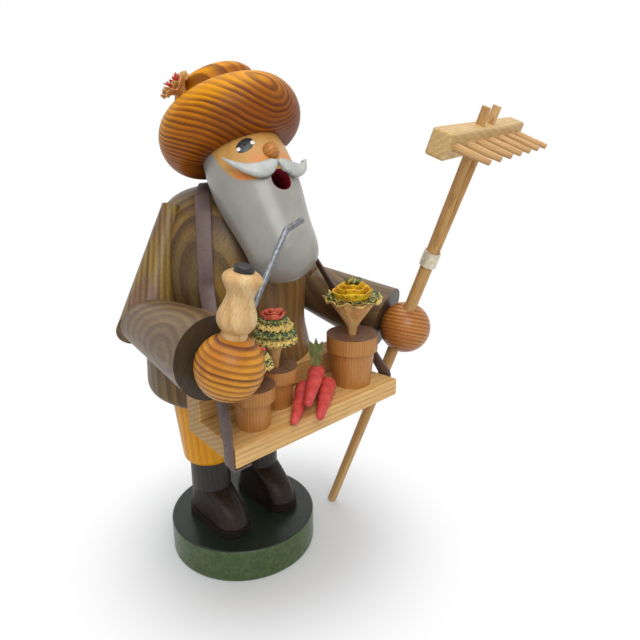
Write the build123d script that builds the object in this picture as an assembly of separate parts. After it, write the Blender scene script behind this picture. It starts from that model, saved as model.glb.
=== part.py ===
"""Turned wooden incense smoker: a bearded gardener with a hawker's tray, a pipe and a rake.

Millimetres, +Z up. The origin is the middle of the underside of the base disc.
The figure faces -Y; its right hand (the pipe hand) is on the -X side.
"""
from build123d import *
import math
import os

# Stand: base disc, shoes, legs and trousers
BASE_DIAMETER = 72.0
BASE_HEIGHT = 17.0
BASE_EDGE = 1.2
FIGURE_SETBACK = 5.0
LEG_SPACING = 30.0
LEG_DIAMETER = 19.0
LEG_LENGTH = 15.0
SHOE_LENGTH = 39.0
SHOE_HEEL = 14.0
SHOE_WIDTH = 17.5
HEEL_WIDTH = 16.0
SHOE_HEIGHT = 19.0
TOE_HEIGHT = 10.0
SOLE_THICKNESS = 4.4
SOLE_LEDGE = 0.9
VAMP_SLOPE = 3.0
ANKLE_SETBACK = 2.0
TROUSER_LENGTH = 37.0
HEM_DIAMETER = 24.0
HIP_DIAMETER = 32.0
CROTCH_HEIGHT = 12.0
HEM_ROUND = 3.5

# Smoke chamber and the plug that carries the incense
PLUG_HEIGHT = 9.0
PLUG_CLEARANCE = 0.4
DISH_DIAMETER = 30.0
DISH_HEIGHT = 3.0
DISH_SHEET = 0.6
NAIL_DIAMETER = 1.6
NAIL_HEAD = 4.0
NAIL_HEAD_HEIGHT = 0.8
NAIL_LENGTH = 9.0
CHAMBER_DIAMETER = 46.0
CHAMBER_HEIGHT = 50.0
CHAMBER_TIP = 14.0
CHAMBER_NECK = 16.0
DRAUGHT_HOLE = 6.0
DRAUGHT_HEIGHT = 16.0

# Torso, heights counted from the seat on the trousers
TORSO_HEIGHT = 91.5
COAT_FOOT_DIAMETER = 72.0
COAT_HEM_DIAMETER = 77.5
COAT_HEM_HEIGHT = 10.3
WAIST_DIAMETER = 71.6
WAIST_HEIGHT = 30.3
CHEST_DIAMETER = 73.0
CHEST_HEIGHT = 51.3
SHOULDER_DIAMETER = 58.0
SHOULDER_HEIGHT = 77.6
NECK_DIAMETER = 17.0

# Head, counted along its own leaning axis from its widest ring
HEAD_FORWARD = 24.0
HEAD_RISE = 5.7
HEAD_TILT = 37.8
HEAD_TURN = 4.6
HEAD_DIAMETER = 35.4
HEAD_CROWN_DIAMETER = 27.0
HEAD_CROWN_HEIGHT = 22.0
BEARD_LENGTH = 47.0
BEARD_MID_DIAMETER = 29.0
BEARD_MID_DROP = 30.0
BEARD_TIP_DIAMETER = 20.0
BEARD_TIP_DROP = 43.5
CHEST_FLAT = 10.4
NECK_PEG_DROP = 24.0
MOUTH_DIAMETER = 8.4
MOUTH_DROP = 12.1
NOSE_DIAMETER = 6.8
NOSE_PEG_DIAMETER = 3.0
NOSE_PEG_LENGTH = 5.0
MOUSTACHE_LENGTH = 14.4
MOUSTACHE_BELLY = 7.0
MOUSTACHE_SAG = 0.4
MOUSTACHE_DEPTH = 5.0
MOUSTACHE_END = 2.4
MOUSTACHE_CURL = 6.6
MOUSTACHE_THICKNESS = 2.2
MOUSTACHE_DROP = 4.0
MOUSTACHE_GAP = 0.4

# Hat
HAT_DIAMETER = 60.2
BRIM_WIDTH = 21.1
BRIM_THICKNESS = 24.5
BRIM_UNDER_ANGLE = 120.0
CROWN_DIAMETER = 35.2
CROWN_HEIGHT = 21.7
CROWN_ROUND = 5.1
HAT_TILT = 30.9
HAT_TURN = -3.4
HAT_RISE = 23.6

# Arms: shoulder, elbow and hand centres counted from the seat on the torso axis
SHOULDER_OUT = 24.4
SHOULDER_BACK = 1.7
SHOULDER_UP = 85.2
SHOULDER_WIDTH = 8.3
ELBOW_OUT = 43.6
ELBOW_BACK = -4.5
ELBOW_UP = 40.0
ELBOW_WIDTH = 22.1
CUFF_DIAMETER = 31.0
HAND_DIAMETER = 24.0
HAND_SEAT = 10.5
RIGHT_HAND_OUT = 49.5
RIGHT_HAND_FRONT = 69.5
RIGHT_HAND_UP = 41.3
LEFT_HAND_OUT = 61.6
LEFT_HAND_FRONT = 56.5
LEFT_HAND_UP = 25.0
SHOULDER_PEG_DROP = 28.0
SHOULDER_PEG_IN = 9.3
WRIST_PEG_IN = 7.0
WRIST_PEG_LENGTH = 11.5

# Pipe
PIPE_LEAN = 10.5
PIPE_TURN = 45.0
PIPE_FOOT_DIAMETER = 9.0
PIPE_FOOT_HEIGHT = 4.5
PIPE_BELLY_DIAMETER = 13.2
PIPE_NECK_DIAMETER = 9.6
PIPE_LIP_DIAMETER = 13.4
PIPE_BELLY_UP = 10.5
PIPE_NECK_UP = 18.0
PIPE_LIP_UP = 22.4
PIPE_HEIGHT = 25.0
PIPE_SPIGOT_DIAMETER = 5.0
PIPE_SOCKET = 4.0
PIPE_SINK = 2.5
PIPE_BEVEL = 1.0
LID_DIAMETER = 6.8
LID_HEIGHT = 2.2
STEM_DIAMETER = 2.2
STEM_BEND = 2.6
STEM_LENGTH = 41.0
STEM_RISE = 48.0
STEM_SWING = 15.0
STEM_TIP_LENGTH = 10.5
STEM_TIP_RISE = 11.0
STEM_FOOT_UP = 3.5
LID_PIN_DIAMETER = 2.0
LID_PIN_LENGTH = 5.0

# Tray and what stands on it, y counted from the front edge of the tray
TRAY_WIDTH = 92.0
TRAY_BACK_WIDTH = 84.0
TRAY_DEPTH = 38.0
TRAY_THICKNESS = 8.0
TRAY_UP = -2.0
TRAY_FRONT = 65.5
RAIL_DEPTH = 10.5
RAIL_HEIGHT = 10.3
RAIL_WEB = 2.5
TRAY_PEG_DIAMETER = 3.0
TRAY_PEG_UP = 5.0
TRAY_EDGE_ROUND = 0.7
SMALL_POT_HEIGHT = 17.2
SMALL_RIM_DIAMETER = 18.2
SMALL_RIM_HEIGHT = 5.5
SMALL_BODY_DIAMETER = 14.6
SMALL_FOOT_DIAMETER = 13.2
LARGE_POT_HEIGHT = 23.4
LARGE_RIM_DIAMETER = 22.8
LARGE_RIM_HEIGHT = 7.0
LARGE_BODY_DIAMETER = 20.4
LARGE_FOOT_DIAMETER = 17.0
POT_HOLE_DEPTH = 8.0
POT_HOLE_PLAY = 0.6
FRONT_POT_X = -28.8
FRONT_POT_IN = 11.2
BACK_POT_X = -10.4
BACK_POT_IN = 19.2
LARGE_POT_X = 28.5
LARGE_POT_IN = 12.4
FRONT_FLOWER_DIAMETER = 14.0
BACK_FLOWER_DIAMETER = 16.8
SMALL_FLOWER_HEIGHT = 22.5
SMALL_STALK_DIAMETER = 3.2
LARGE_FLOWER_DIAMETER = 26.0
LARGE_FLOWER_HEIGHT = 26.0
LARGE_STALK_DIAMETER = 4.2
FRONT_FLOWER_LEAN = 12.0
CARROT_DIAMETER = 7.4
CARROT_TIP_DIAMETER = 3.4
CARROT_LENGTH = 30.0
CARROT_SPACING = 9.6
CARROT_TURN = 39.0
CARROT_TIP_X = -19.0
CARROT_OVERHANG = 1.6
CARROT_STAGGER = 5.0
CARROT_LIFT = 0.18
LEAF_WIDTH = 6.0
LEAF_HEIGHT = 13.0
LEAF_THICKNESS = 1.2

# Straps
STRAP_WIDTH = 5.2
STRAP_THICKNESS = 0.9
STRAP_SHOULDER_OUT = 21.2
STRAP_SHOULDER_FRONT = 9.8
STRAP_NAPE_OUT = 10.5
STRAP_NAPE_BACK = 15.0
RIGHT_STRAP_IN = 11.0
LEFT_STRAP_IN = 7.5
STRAP_BEND_OUT = 29.0
STRAP_BEND_FRONT = 34.0
STRAP_BEND_UP = 31.0
STRAP_TUCK = 7.0
STRAP_LIFT = 0.5

# Shaving flowers: tiers as shares of the radius and of the height
FLOWER_THROAT = (0.45, 0.42)
FLOWER_RIM = (1.0, 0.58)
FLOWER_LIP = (0.93, 0.68)
FLOWER_STEP = (0.64, 0.72)
FLOWER_TIER = (0.6, 0.84)

# Hat flower
HAT_FLOWER_DIAMETER = 12.0
HAT_FLOWER_LENGTH = 9.0
HAT_STALK_DIAMETER = 3.0
HAT_STALK_DEPTH = 5.0
HAT_FLOWER_TURN = 5.0
HAT_FLOWER_LIFT = 30.0
HAT_FLOWER_UP = 15.0

# Rake
RAKE_LEAN = 19.8
RAKE_SIDE_LEAN = 2.7
RAKE_TURN = 13.0
RAKE_IN = 2.5
RAKE_FOOT_DIAMETER = 4.8
RAKE_NECK_DIAMETER = 5.8
RAKE_LENGTH = 214.0
RAKE_BORE_GAP = 0.15
RAKE_FOOT_LIFT = 0.2
FERRULE_UP = 38.0
FERRULE_LENGTH = 7.0
FERRULE_WALL = 0.6
PRONG_SPREAD = 6.2
PRONG_TIP_WIDTH = 3.6
PRONG_TIP_THICKNESS = 2.2
PRONG_GAP = 0.3
PRONG_ROOT_THIN = 0.46
PRONG_ROOT_BROAD = 0.88
PRONG_OVERRUN = 7.0
RAKE_HEAD_LENGTH = 82.0
RAKE_HEAD_DEPTH = 8.0
RAKE_HEAD_HEIGHT = 10.0
TINE_COUNT = 7
TINE_PITCH = 11.7
TINE_LENGTH = 14.0
TINE_DIAMETER = 3.6
TINE_TIP_DIAMETER = 2.2
TINE_SOCKET = 4.0

# Hidden pegs and the fits between pieces
PEG_DIAMETER = 6.0
PEG_LENGTH = 14.0
PEG_GAP = 0.1
TENON_DIAMETER = 10.0
TENON_LENGTH = 8.0
GLUE_GAP = 0.06
FAR = 300.0

# Levels that follow from the sizes above
SHOE_TOP = BASE_HEIGHT + SHOE_HEIGHT
HEM = SHOE_TOP + LEG_LENGTH
SEAT = HEM + TROUSER_LENGTH
TORSO_TOP = SEAT + TORSO_HEIGHT
TRAY_BOTTOM = SEAT + TRAY_UP
TRAY_TOP = TRAY_BOTTOM + TRAY_THICKNESS
TRAY_EDGE = FIGURE_SETBACK - TRAY_FRONT
AXIS = Vector(0, FIGURE_SETBACK, 0)
UPRIGHT = (Align.CENTER, Align.CENTER, Align.MIN)
SIDES = {"right": -1, "left": 1}

HEAD_SPOT = (
    Pos(0, FIGURE_SETBACK, TORSO_TOP + HEAD_RISE)
    * Rot(Z=-HEAD_TURN)
    * Pos(0, -HEAD_FORWARD, 0)
    * Rot(X=-HEAD_TILT)
)
HAT_SPOT = Pos(*(HEAD_SPOT * Pos(0, 0, HAT_RISE)).position) * Rot(Z=-HAT_TURN) * Rot(X=-HAT_TILT)


def turned(*edges):
    """Solid turned about Z from an open outline that starts and ends on the axis."""
    outline = Wire(edges)
    closing = Line(outline @ 1, outline @ 0)
    return revolve(make_face([*outline.edges(), closing]), axis=Axis.Z)


def rod(start, end, diameter, end_diameter=None):
    """Round rod, or a cone, from one point to another."""
    start = Vector(start)
    end = Vector(end)
    length = (end - start).length
    where = Plane(start, z_dir=end - start)
    if end_diameter is None:
        return where * Cylinder(diameter / 2, length, align=UPRIGHT)
    return where * Cone(diameter / 2, end_diameter / 2, length, align=UPRIGHT)


def peg_pair(start, end, diameter=PEG_DIAMETER):
    """A hidden peg and the hole that takes it."""
    start = Vector(start)
    end = Vector(end)
    spare = (end - start).normalized() * PEG_GAP
    return rod(start, end, diameter), rod(start - spare, end + spare, diameter + 2 * PEG_GAP)


def from_seat(x, y, z):
    """Point counted from the torso axis where the coat sits on the trousers."""
    return Vector(x, y + FIGURE_SETBACK, z + SEAT)


def leg_at(side, z):
    return Vector(side * LEG_SPACING / 2, FIGURE_SETBACK, z)


def make_base():
    disc = Cylinder(BASE_DIAMETER / 2, BASE_HEIGHT, align=UPRIGHT)
    return fillet(disc.edges().filter_by(GeomType.CIRCLE), BASE_EDGE)


def shoe_section(height, heel, toe, heel_width, ball_width):
    """Level outline of the shoe, round at the heel and at the toe."""
    half_heel = heel_width / 2
    half_ball = ball_width / 2
    heel_side = heel - half_heel
    ball = toe + half_ball
    edges = [
        ThreePointArc((half_heel, heel_side), (0, heel), (-half_heel, heel_side)),
        Line((-half_heel, heel_side), (-half_ball, ball)),
        ThreePointArc((-half_ball, ball), (0, toe), (half_ball, ball)),
        Line((half_ball, ball), (half_heel, heel_side)),
    ]
    return Pos(0, 0, height) * make_face(edges)


def make_shoe(side):
    """Flat-soled shoe, high at the ankle and falling to a round toe."""
    toe = SHOE_HEEL - SHOE_LENGTH
    inset = 2 * SOLE_LEDGE
    sole = extrude(shoe_section(0, SHOE_HEEL, toe, HEEL_WIDTH, SHOE_WIDTH), SOLE_THICKNESS)
    welt = shoe_section(
        SOLE_THICKNESS,
        SHOE_HEEL - SOLE_LEDGE,
        toe + SOLE_LEDGE,
        HEEL_WIDTH - inset,
        SHOE_WIDTH - inset,
    )
    vamp = shoe_section(
        TOE_HEIGHT,
        SHOE_HEEL - inset,
        toe + SOLE_LEDGE + VAMP_SLOPE,
        HEEL_WIDTH - inset,
        SHOE_WIDTH - inset - SOLE_LEDGE,
    )
    ankle_width = LEG_DIAMETER - ANKLE_SETBACK
    ankle = ankle_width / 2 + SOLE_LEDGE
    top = shoe_section(SHOE_HEIGHT, ankle, -ankle, ankle_width, ankle_width)
    return Pos(*leg_at(side, BASE_HEIGHT)) * (sole + loft([welt, vamp, top]))


def make_leg(side):
    """Boot leg with a tenon into the shoe below and the trousers above."""
    leg = rod(leg_at(side, SHOE_TOP), leg_at(side, HEM), LEG_DIAMETER)
    tenon = rod(leg_at(side, SHOE_TOP - TENON_LENGTH), leg_at(side, HEM + TENON_LENGTH), TENON_DIAMETER)
    return leg + tenon


def leg_mortise(side):
    low = SHOE_TOP - TENON_LENGTH - PEG_GAP
    high = HEM + TENON_LENGTH + PEG_GAP
    return rod(leg_at(side, low), leg_at(side, high), TENON_DIAMETER + 2 * PEG_GAP)


def shoe_peg(side):
    """Peg that holds a shoe on the base, ahead of the leg tenon."""
    ahead = Vector(0, -LEG_DIAMETER / 2 - TENON_DIAMETER / 4, 0)
    low = leg_at(side, BASE_HEIGHT - TENON_LENGTH) + ahead
    high = leg_at(side, BASE_HEIGHT + SOLE_THICKNESS) + ahead
    return peg_pair(low, high)


def make_trousers():
    """Two flared trouser legs that run together below the coat."""
    legs = None
    for side in SIDES.values():
        cone = Cone(HEM_DIAMETER / 2, HIP_DIAMETER / 2, TROUSER_LENGTH, align=UPRIGHT)
        hem = cone.edges().filter_by(GeomType.CIRCLE).sort_by(Axis.Z)[0]
        leg = Pos(*leg_at(side, HEM)) * fillet(hem, HEM_ROUND)
        legs = leg if legs is None else legs + leg
    seat = Box(LEG_SPACING, HEM_DIAMETER, CROTCH_HEIGHT, align=UPRIGHT)
    return legs + Pos(*leg_at(0, SEAT - CROTCH_HEIGHT)) * seat


def make_plug():
    """Turned plug that locates the coat and carries the incense dish."""
    width = CHAMBER_DIAMETER - 2 * PLUG_CLEARANCE
    plug = Cylinder(width / 2, PLUG_HEIGHT, align=UPRIGHT)
    top = plug.edges().filter_by(GeomType.CIRCLE).sort_by(Axis.Z)[-1]
    return Pos(*from_seat(0, 0, 0)) * chamfer(top, BASE_EDGE)


def make_dish():
    """Pressed metal dish for the incense cone."""
    outside = Cylinder(DISH_DIAMETER / 2, DISH_HEIGHT, align=UPRIGHT)
    inside = Pos(0, 0, DISH_SHEET) * Cylinder(DISH_DIAMETER / 2 - DISH_SHEET, DISH_HEIGHT, align=UPRIGHT)
    nail_hole = Cylinder(NAIL_DIAMETER / 2 + PEG_GAP, 2 * DISH_HEIGHT)
    return Pos(*from_seat(0, 0, PLUG_HEIGHT)) * (outside - inside - nail_hole)


def make_nail():
    under_head = from_seat(0, 0, PLUG_HEIGHT + DISH_SHEET)
    tip = under_head - Vector(0, 0, NAIL_LENGTH)
    head = under_head + Vector(0, 0, NAIL_HEAD_HEIGHT)
    return rod(tip, under_head, NAIL_DIAMETER) + rod(under_head, head, NAIL_HEAD)


def coat_side(grow):
    """Outline of the coat from its hem to the neck."""
    return Spline(
        (COAT_HEM_DIAMETER / 2 + grow, 0, COAT_HEM_HEIGHT),
        (WAIST_DIAMETER / 2 + grow, 0, WAIST_HEIGHT),
        (CHEST_DIAMETER / 2 + grow, 0, CHEST_HEIGHT),
        (SHOULDER_DIAMETER / 2 + grow, 0, SHOULDER_HEIGHT + grow / 2),
        (NECK_DIAMETER / 2, 0, TORSO_HEIGHT + grow),
        tangents=((0, 0, 1), (-1, 0, 0.12)),
    )


def coat_radius(height):
    """Radius of the coat at a height above its foot, between the hem and the neck."""
    side = coat_side(0)
    low = 0.0
    high = 1.0
    for _ in range(40):
        middle = (low + high) / 2
        if (side @ middle).Z < height:
            low = middle
        else:
            high = middle
    return (side @ low).X


def coat_form(grow=0.0):
    """Turned outside of the coat, grown by a gap where other pieces are cut to it."""
    foot = (COAT_FOOT_DIAMETER / 2 + grow, 0, -grow)
    side = coat_side(grow)
    form = turned(
        Line((0, 0, -grow), foot),
        Spline(foot, side @ 0, tangents=((1, 0, 0), (0, 0, 1))),
        side,
        Line(side @ 1, (0, 0, TORSO_HEIGHT + grow)),
    )
    return Pos(*from_seat(0, 0, 0)) * form


def front_of_flat(grow=0.0):
    """All that lies before the flat planed on the chest for the head."""
    return HEAD_SPOT * Pos(0, CHEST_FLAT - grow - FAR / 2, 0) * Box(FAR, FAR, FAR)


def head_form(grow=0.0):
    """Long egg of the head and beard, turned about its own axis."""
    crown = (HEAD_CROWN_DIAMETER / 2 + grow, 0, HEAD_CROWN_HEIGHT + grow)
    side = Spline(
        (0, 0, -BEARD_LENGTH - grow),
        (BEARD_TIP_DIAMETER / 2 + grow, 0, -BEARD_TIP_DROP),
        (BEARD_MID_DIAMETER / 2 + grow, 0, -BEARD_MID_DROP),
        (HEAD_DIAMETER / 2 + grow, 0, 0),
        crown,
        tangents=((1, 0, 0), (-1, 0, 1.2)),
        tangent_scalars=(0.4, 0.4),
    )
    return turned(side, Line(crown, (0, 0, HEAD_CROWN_HEIGHT + grow)))


def smoke_way():
    """Bore from the top of the smoke chamber to the mouth."""
    throat = (HEAD_SPOT * Pos(0, 0, -MOUTH_DROP)).position
    lips = (HEAD_SPOT * Pos(0, -HEAD_DIAMETER, -MOUTH_DROP)).position
    chamber_top = from_seat(0, 0, CHAMBER_HEIGHT + CHAMBER_TIP / 2)
    elbow = Pos(*throat) * Sphere(MOUTH_DIAMETER / 2)
    return rod(throat, lips, MOUTH_DIAMETER) + elbow + rod(chamber_top, throat, MOUTH_DIAMETER)


def make_chamber():
    """Smoke chamber bored from below, ending in a cone."""
    bore = Cylinder(CHAMBER_DIAMETER / 2, CHAMBER_HEIGHT, align=UPRIGHT)
    tip = Cone(CHAMBER_DIAMETER / 2, CHAMBER_NECK / 2, CHAMBER_TIP, align=UPRIGHT)
    draught = from_seat(0, 0, DRAUGHT_HEIGHT)
    hole = rod(draught, draught + Vector(0, COAT_HEM_DIAMETER, 0), DRAUGHT_HOLE)
    return Pos(*from_seat(0, 0, 0)) * (bore + Pos(0, 0, CHAMBER_HEIGHT) * tip) + hole


def neck_peg():
    """Peg square to the flat between coat and beard, below the smoke bore."""
    back = HEAD_SPOT * Pos(0, CHEST_FLAT + PEG_LENGTH / 2, -NECK_PEG_DROP)
    front = HEAD_SPOT * Pos(0, CHEST_FLAT - PEG_LENGTH / 2, -NECK_PEG_DROP)
    return peg_pair(back.position, front.position)


def hat_peg():
    """Peg up the head axis into the hat."""
    low = HEAD_SPOT * Pos(0, 0, HEAD_CROWN_HEIGHT - PEG_LENGTH / 2)
    high = HEAD_SPOT * Pos(0, 0, HEAD_CROWN_HEIGHT + PEG_LENGTH / 2)
    return peg_pair(low.position, high.position)


def nose_pieces():
    """Ball nose on a peg, and the hole for the peg."""
    reach = HEAD_DIAMETER / 2
    peg, hole = peg_pair((0, NOSE_PEG_LENGTH - reach, 0), (0, -reach, 0), NOSE_PEG_DIAMETER)
    ball = Pos(0, -reach, 0) * Sphere(NOSE_DIAMETER / 2) - head_form(GLUE_GAP)
    return HEAD_SPOT * (ball + peg), HEAD_SPOT * hole


def make_moustache(side):
    """Crescent that follows the curve of the face, curling up at its outer tip."""
    top = -MOUSTACHE_DROP
    low = top - MOUSTACHE_END
    inner = side * MOUSTACHE_GAP
    middle = inner + side * MOUSTACHE_BELLY
    tip = (inner + side * MOUSTACHE_LENGTH, 0, top + MOUSTACHE_CURL)
    crescent = make_face(
        [
            ThreePointArc((inner, 0, top), (middle, 0, top - MOUSTACHE_SAG), tip),
            ThreePointArc(tip, (middle, 0, top - MOUSTACHE_DEPTH), (inner, 0, low)),
            Line((inner, 0, low), (inner, 0, top)),
        ]
    )
    block = extrude(crescent, HEAD_DIAMETER, dir=(0, -1, 0))
    shell = head_form(MOUSTACHE_THICKNESS) - head_form(GLUE_GAP)
    nose = Pos(0, -HEAD_DIAMETER / 2, 0) * Sphere(NOSE_DIAMETER / 2 + GLUE_GAP)
    return HEAD_SPOT * ((block & shell) - nose)


def hat_form():
    """Turned hat with a fat rolled brim and a round crown."""
    roll = BRIM_WIDTH / 2
    ring = HAT_DIAMETER / 2 - roll
    crown = CROWN_DIAMETER / 2
    gorge_angle = math.degrees(math.acos((crown - ring) / roll))
    turn = BRIM_UNDER_ANGLE + gorge_angle
    section = EllipticalCenterArc((ring, 0), roll, BRIM_THICKNESS / 2, -BRIM_UNDER_ANGLE, arc_size=turn)
    brim = Plane.XZ * section
    under = brim @ 0
    gorge = brim @ 1
    shoulder = (crown, 0, CROWN_HEIGHT - CROWN_ROUND)
    top = (crown - CROWN_ROUND, 0, CROWN_HEIGHT)
    round_over = CROWN_ROUND * (1 - math.sqrt(0.5))
    rounded = (crown - round_over, 0, CROWN_HEIGHT - round_over)
    return turned(
        Line((0, 0, under.Z), under),
        brim,
        Line(gorge, shoulder),
        ThreePointArc(shoulder, rounded, top),
        Line(top, (0, 0, CROWN_HEIGHT)),
    )


def trumpet(diameter, height, stalk, depth):
    """Shaving flower: a stalk that opens like a trumpet into two frilled tiers."""
    root = (stalk / 2, 0, 0)
    foot = (stalk / 2, 0, -depth)
    throat, rim, lip, step, tier = [
        (across * diameter / 2, 0, up * height)
        for across, up in (FLOWER_THROAT, FLOWER_RIM, FLOWER_LIP, FLOWER_STEP, FLOWER_TIER)
    ]
    return turned(
        Line((0, 0, -depth), foot),
        Line(foot, root),
        Spline(root, throat, rim, tangents=((0.1, 0, 1), (1, 0, 0.2))),
        Line(rim, lip),
        Line(lip, step),
        Line(step, tier),
        Spline(tier, (0, 0, height), tangents=((-0.5, 0, 1), (-1, 0, 0))),
    )


def hat_flower_spot():
    """Place on the side of the crown, looking outwards and a little up."""
    up = HAT_SPOT * Pos(0, 0, HAT_FLOWER_UP) * Rot(Z=HAT_FLOWER_TURN)
    return up * Pos(-CROWN_DIAMETER / 2, 0, 0) * Rot(Y=HAT_FLOWER_LIFT - 90)


def arm_points(side_name):
    side = SIDES[side_name]
    shoulder = from_seat(side * SHOULDER_OUT, SHOULDER_BACK, SHOULDER_UP)
    elbow = from_seat(side * ELBOW_OUT, ELBOW_BACK, ELBOW_UP)
    if side_name == "right":
        hand = from_seat(-RIGHT_HAND_OUT, -RIGHT_HAND_FRONT, RIGHT_HAND_UP)
    else:
        hand = from_seat(LEFT_HAND_OUT, -LEFT_HAND_FRONT, LEFT_HAND_UP)
    return shoulder, elbow, hand


def make_arm(side_name):
    """Mitred sleeve of two turned cones, the hand, and the pegs that join them."""
    shoulder, elbow, hand = arm_points(side_name)
    side = SIDES[side_name]
    upper_way = (elbow - shoulder).normalized()
    fore_way = (hand - elbow).normalized()
    cuff = hand - fore_way * HAND_SEAT
    mitre = Plane(elbow, z_dir=upper_way + fore_way)
    overrun = ELBOW_WIDTH

    upper_slope = (ELBOW_WIDTH - SHOULDER_WIDTH) / (elbow - shoulder).length
    upper_end = ELBOW_WIDTH + upper_slope * overrun
    upper = rod(shoulder, elbow + upper_way * overrun, SHOULDER_WIDTH, upper_end)
    upper = split(upper, bisect_by=mitre, keep=Keep.BOTTOM)

    fore_slope = (CUFF_DIAMETER - ELBOW_WIDTH) / (cuff - elbow).length
    fore_start = ELBOW_WIDTH - fore_slope * overrun
    fore = rod(elbow - fore_way * overrun, cuff, fore_start, CUFF_DIAMETER)
    fore = split(fore, bisect_by=mitre, keep=Keep.TOP)

    ball = Pos(*hand) * Sphere(HAND_DIAMETER / 2)
    ball = split(ball, bisect_by=Plane(cuff, z_dir=fore_way), keep=Keep.TOP)

    out = Vector(side, 0, 0)
    inside = shoulder + upper_way * (SHOULDER_PEG_DROP / abs(upper_way.Z))
    surface = Vector(side * coat_radius(inside.Z - SEAT), inside.Y, inside.Z)
    deep = surface - out * SHOULDER_PEG_IN
    shoulder_peg, shoulder_hole = peg_pair(deep, deep + out * PEG_LENGTH)
    bend = mitre.z_dir * (PEG_LENGTH / 3)
    elbow_middle = elbow + out * (PEG_LENGTH / 4)
    elbow_peg, elbow_hole = peg_pair(elbow_middle - bend, elbow_middle + bend)
    wrist_in = fore_way * WRIST_PEG_IN
    wrist_peg, wrist_hole = peg_pair(cuff - wrist_in, cuff - wrist_in + fore_way * WRIST_PEG_LENGTH)

    coat = coat_form(GLUE_GAP)
    return {
        "upper_arm": upper - coat - shoulder_hole - elbow_hole,
        "forearm": fore - coat - elbow_hole - wrist_hole,
        "hand": ball - wrist_hole,
        "shoulder_peg": shoulder_peg,
        "elbow_peg": elbow_peg,
        "wrist_peg": wrist_peg,
        "shoulder_hole": shoulder_hole,
    }


def pipe_spot():
    """Seat of the pipe on top of the right hand, leaning forwards and inwards."""
    hand = arm_points("right")[2]
    drop = math.sqrt(HAND_DIAMETER**2 - PIPE_FOOT_DIAMETER**2) / 2
    return Pos(*hand) * Rot(Z=PIPE_TURN) * Rot(X=PIPE_LEAN) * Pos(0, 0, drop - PIPE_SINK)


def make_pipe_bowl():
    foot = PIPE_FOOT_DIAMETER / 2
    spigot = PIPE_SPIGOT_DIAMETER / 2
    return turned(
        Line((0, 0, -PIPE_SOCKET), (spigot, 0, -PIPE_SOCKET)),
        Line((spigot, 0, -PIPE_SOCKET), (spigot, 0, 0)),
        Line((spigot, 0, 0), (foot, 0, 0)),
        Line((foot, 0, 0), (foot, 0, PIPE_FOOT_HEIGHT)),
        Spline(
            (foot, 0, PIPE_FOOT_HEIGHT),
            (PIPE_BELLY_DIAMETER / 2, 0, PIPE_BELLY_UP),
            (PIPE_NECK_DIAMETER / 2, 0, PIPE_NECK_UP),
            (PIPE_LIP_DIAMETER / 2, 0, PIPE_LIP_UP),
            (LID_DIAMETER / 2 + PIPE_BEVEL, 0, PIPE_HEIGHT),
        ),
        Line((LID_DIAMETER / 2 + PIPE_BEVEL, 0, PIPE_HEIGHT), (0, 0, PIPE_HEIGHT)),
    )


def pipe_socket():
    """Spot face and socket in the hand for the pipe's foot."""
    face = Cylinder(PIPE_FOOT_DIAMETER / 2 + PEG_GAP, HAND_DIAMETER, align=UPRIGHT)
    depth = PIPE_SOCKET + PEG_GAP
    socket = Pos(0, 0, -depth) * Cylinder(PIPE_SPIGOT_DIAMETER / 2 + PEG_GAP, 2 * depth, align=UPRIGHT)
    return face + socket


def stem_route():
    """Bent metal tube from the pipe's foot up towards the mouth."""
    rise = math.radians(STEM_RISE)
    swing = math.radians(STEM_SWING)
    tip_rise = math.radians(STEM_TIP_RISE)
    level = Vector(math.cos(swing), math.sin(swing), 0)
    run = level * math.cos(rise) + Vector(0, 0, math.sin(rise))
    tip = level * math.cos(tip_rise) + Vector(0, 0, math.sin(tip_rise))
    foot = (pipe_spot() * Pos(0, -PIPE_FOOT_DIAMETER / 4, STEM_FOOT_UP)).position
    bend = foot + run * STEM_LENGTH
    return foot, bend, bend + tip * STEM_TIP_LENGTH


def make_stem():
    foot, bend, tip = stem_route()
    path = FilletPolyline(foot, bend, tip, radius=STEM_BEND)
    return sweep(Plane(foot, z_dir=bend - foot) * Circle(STEM_DIAMETER / 2), path=path)


def make_lid():
    """Dark round lid with a pin into the bowl, and the hole for the pin."""
    disc = Pos(0, 0, PIPE_HEIGHT) * Cylinder(LID_DIAMETER / 2, LID_HEIGHT, align=UPRIGHT)
    rim = disc.edges().filter_by(GeomType.CIRCLE)
    low = (0, 0, PIPE_HEIGHT - LID_PIN_LENGTH)
    pin, hole = peg_pair(low, (0, 0, PIPE_HEIGHT), LID_PIN_DIAMETER)
    return fillet(rim.sort_by(Axis.Z)[-1], LID_HEIGHT / 3) + pin, hole


def tray_half_width(depth_in):
    """Half width of the tray at a distance in from its front edge."""
    return (TRAY_WIDTH + (TRAY_BACK_WIDTH - TRAY_WIDTH) * depth_in / TRAY_DEPTH) / 2


def tray_slab(near, far, bottom, height):
    """Slab across the tray between two distances from its front edge."""
    near_half = tray_half_width(near)
    far_half = tray_half_width(far)
    corners = [
        (-near_half, TRAY_EDGE + near),
        (near_half, TRAY_EDGE + near),
        (far_half, TRAY_EDGE + far),
        (-far_half, TRAY_EDGE + far),
    ]
    slab = Pos(0, 0, bottom) * extrude(make_face(Polyline(*corners, close=True).edges()), height)
    return fillet(slab.edges(), TRAY_EDGE_ROUND)


def rail_front(grow=0.0):
    """All that lies before the flat planed on the coat for the tray's rail."""
    flat = TRAY_EDGE + TRAY_DEPTH - RAIL_DEPTH + RAIL_WEB - grow
    block = Box(FAR, FAR, RAIL_HEIGHT + 2 * grow, align=UPRIGHT)
    return Pos(0, flat - FAR / 2, TRAY_TOP - grow) * block


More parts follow.
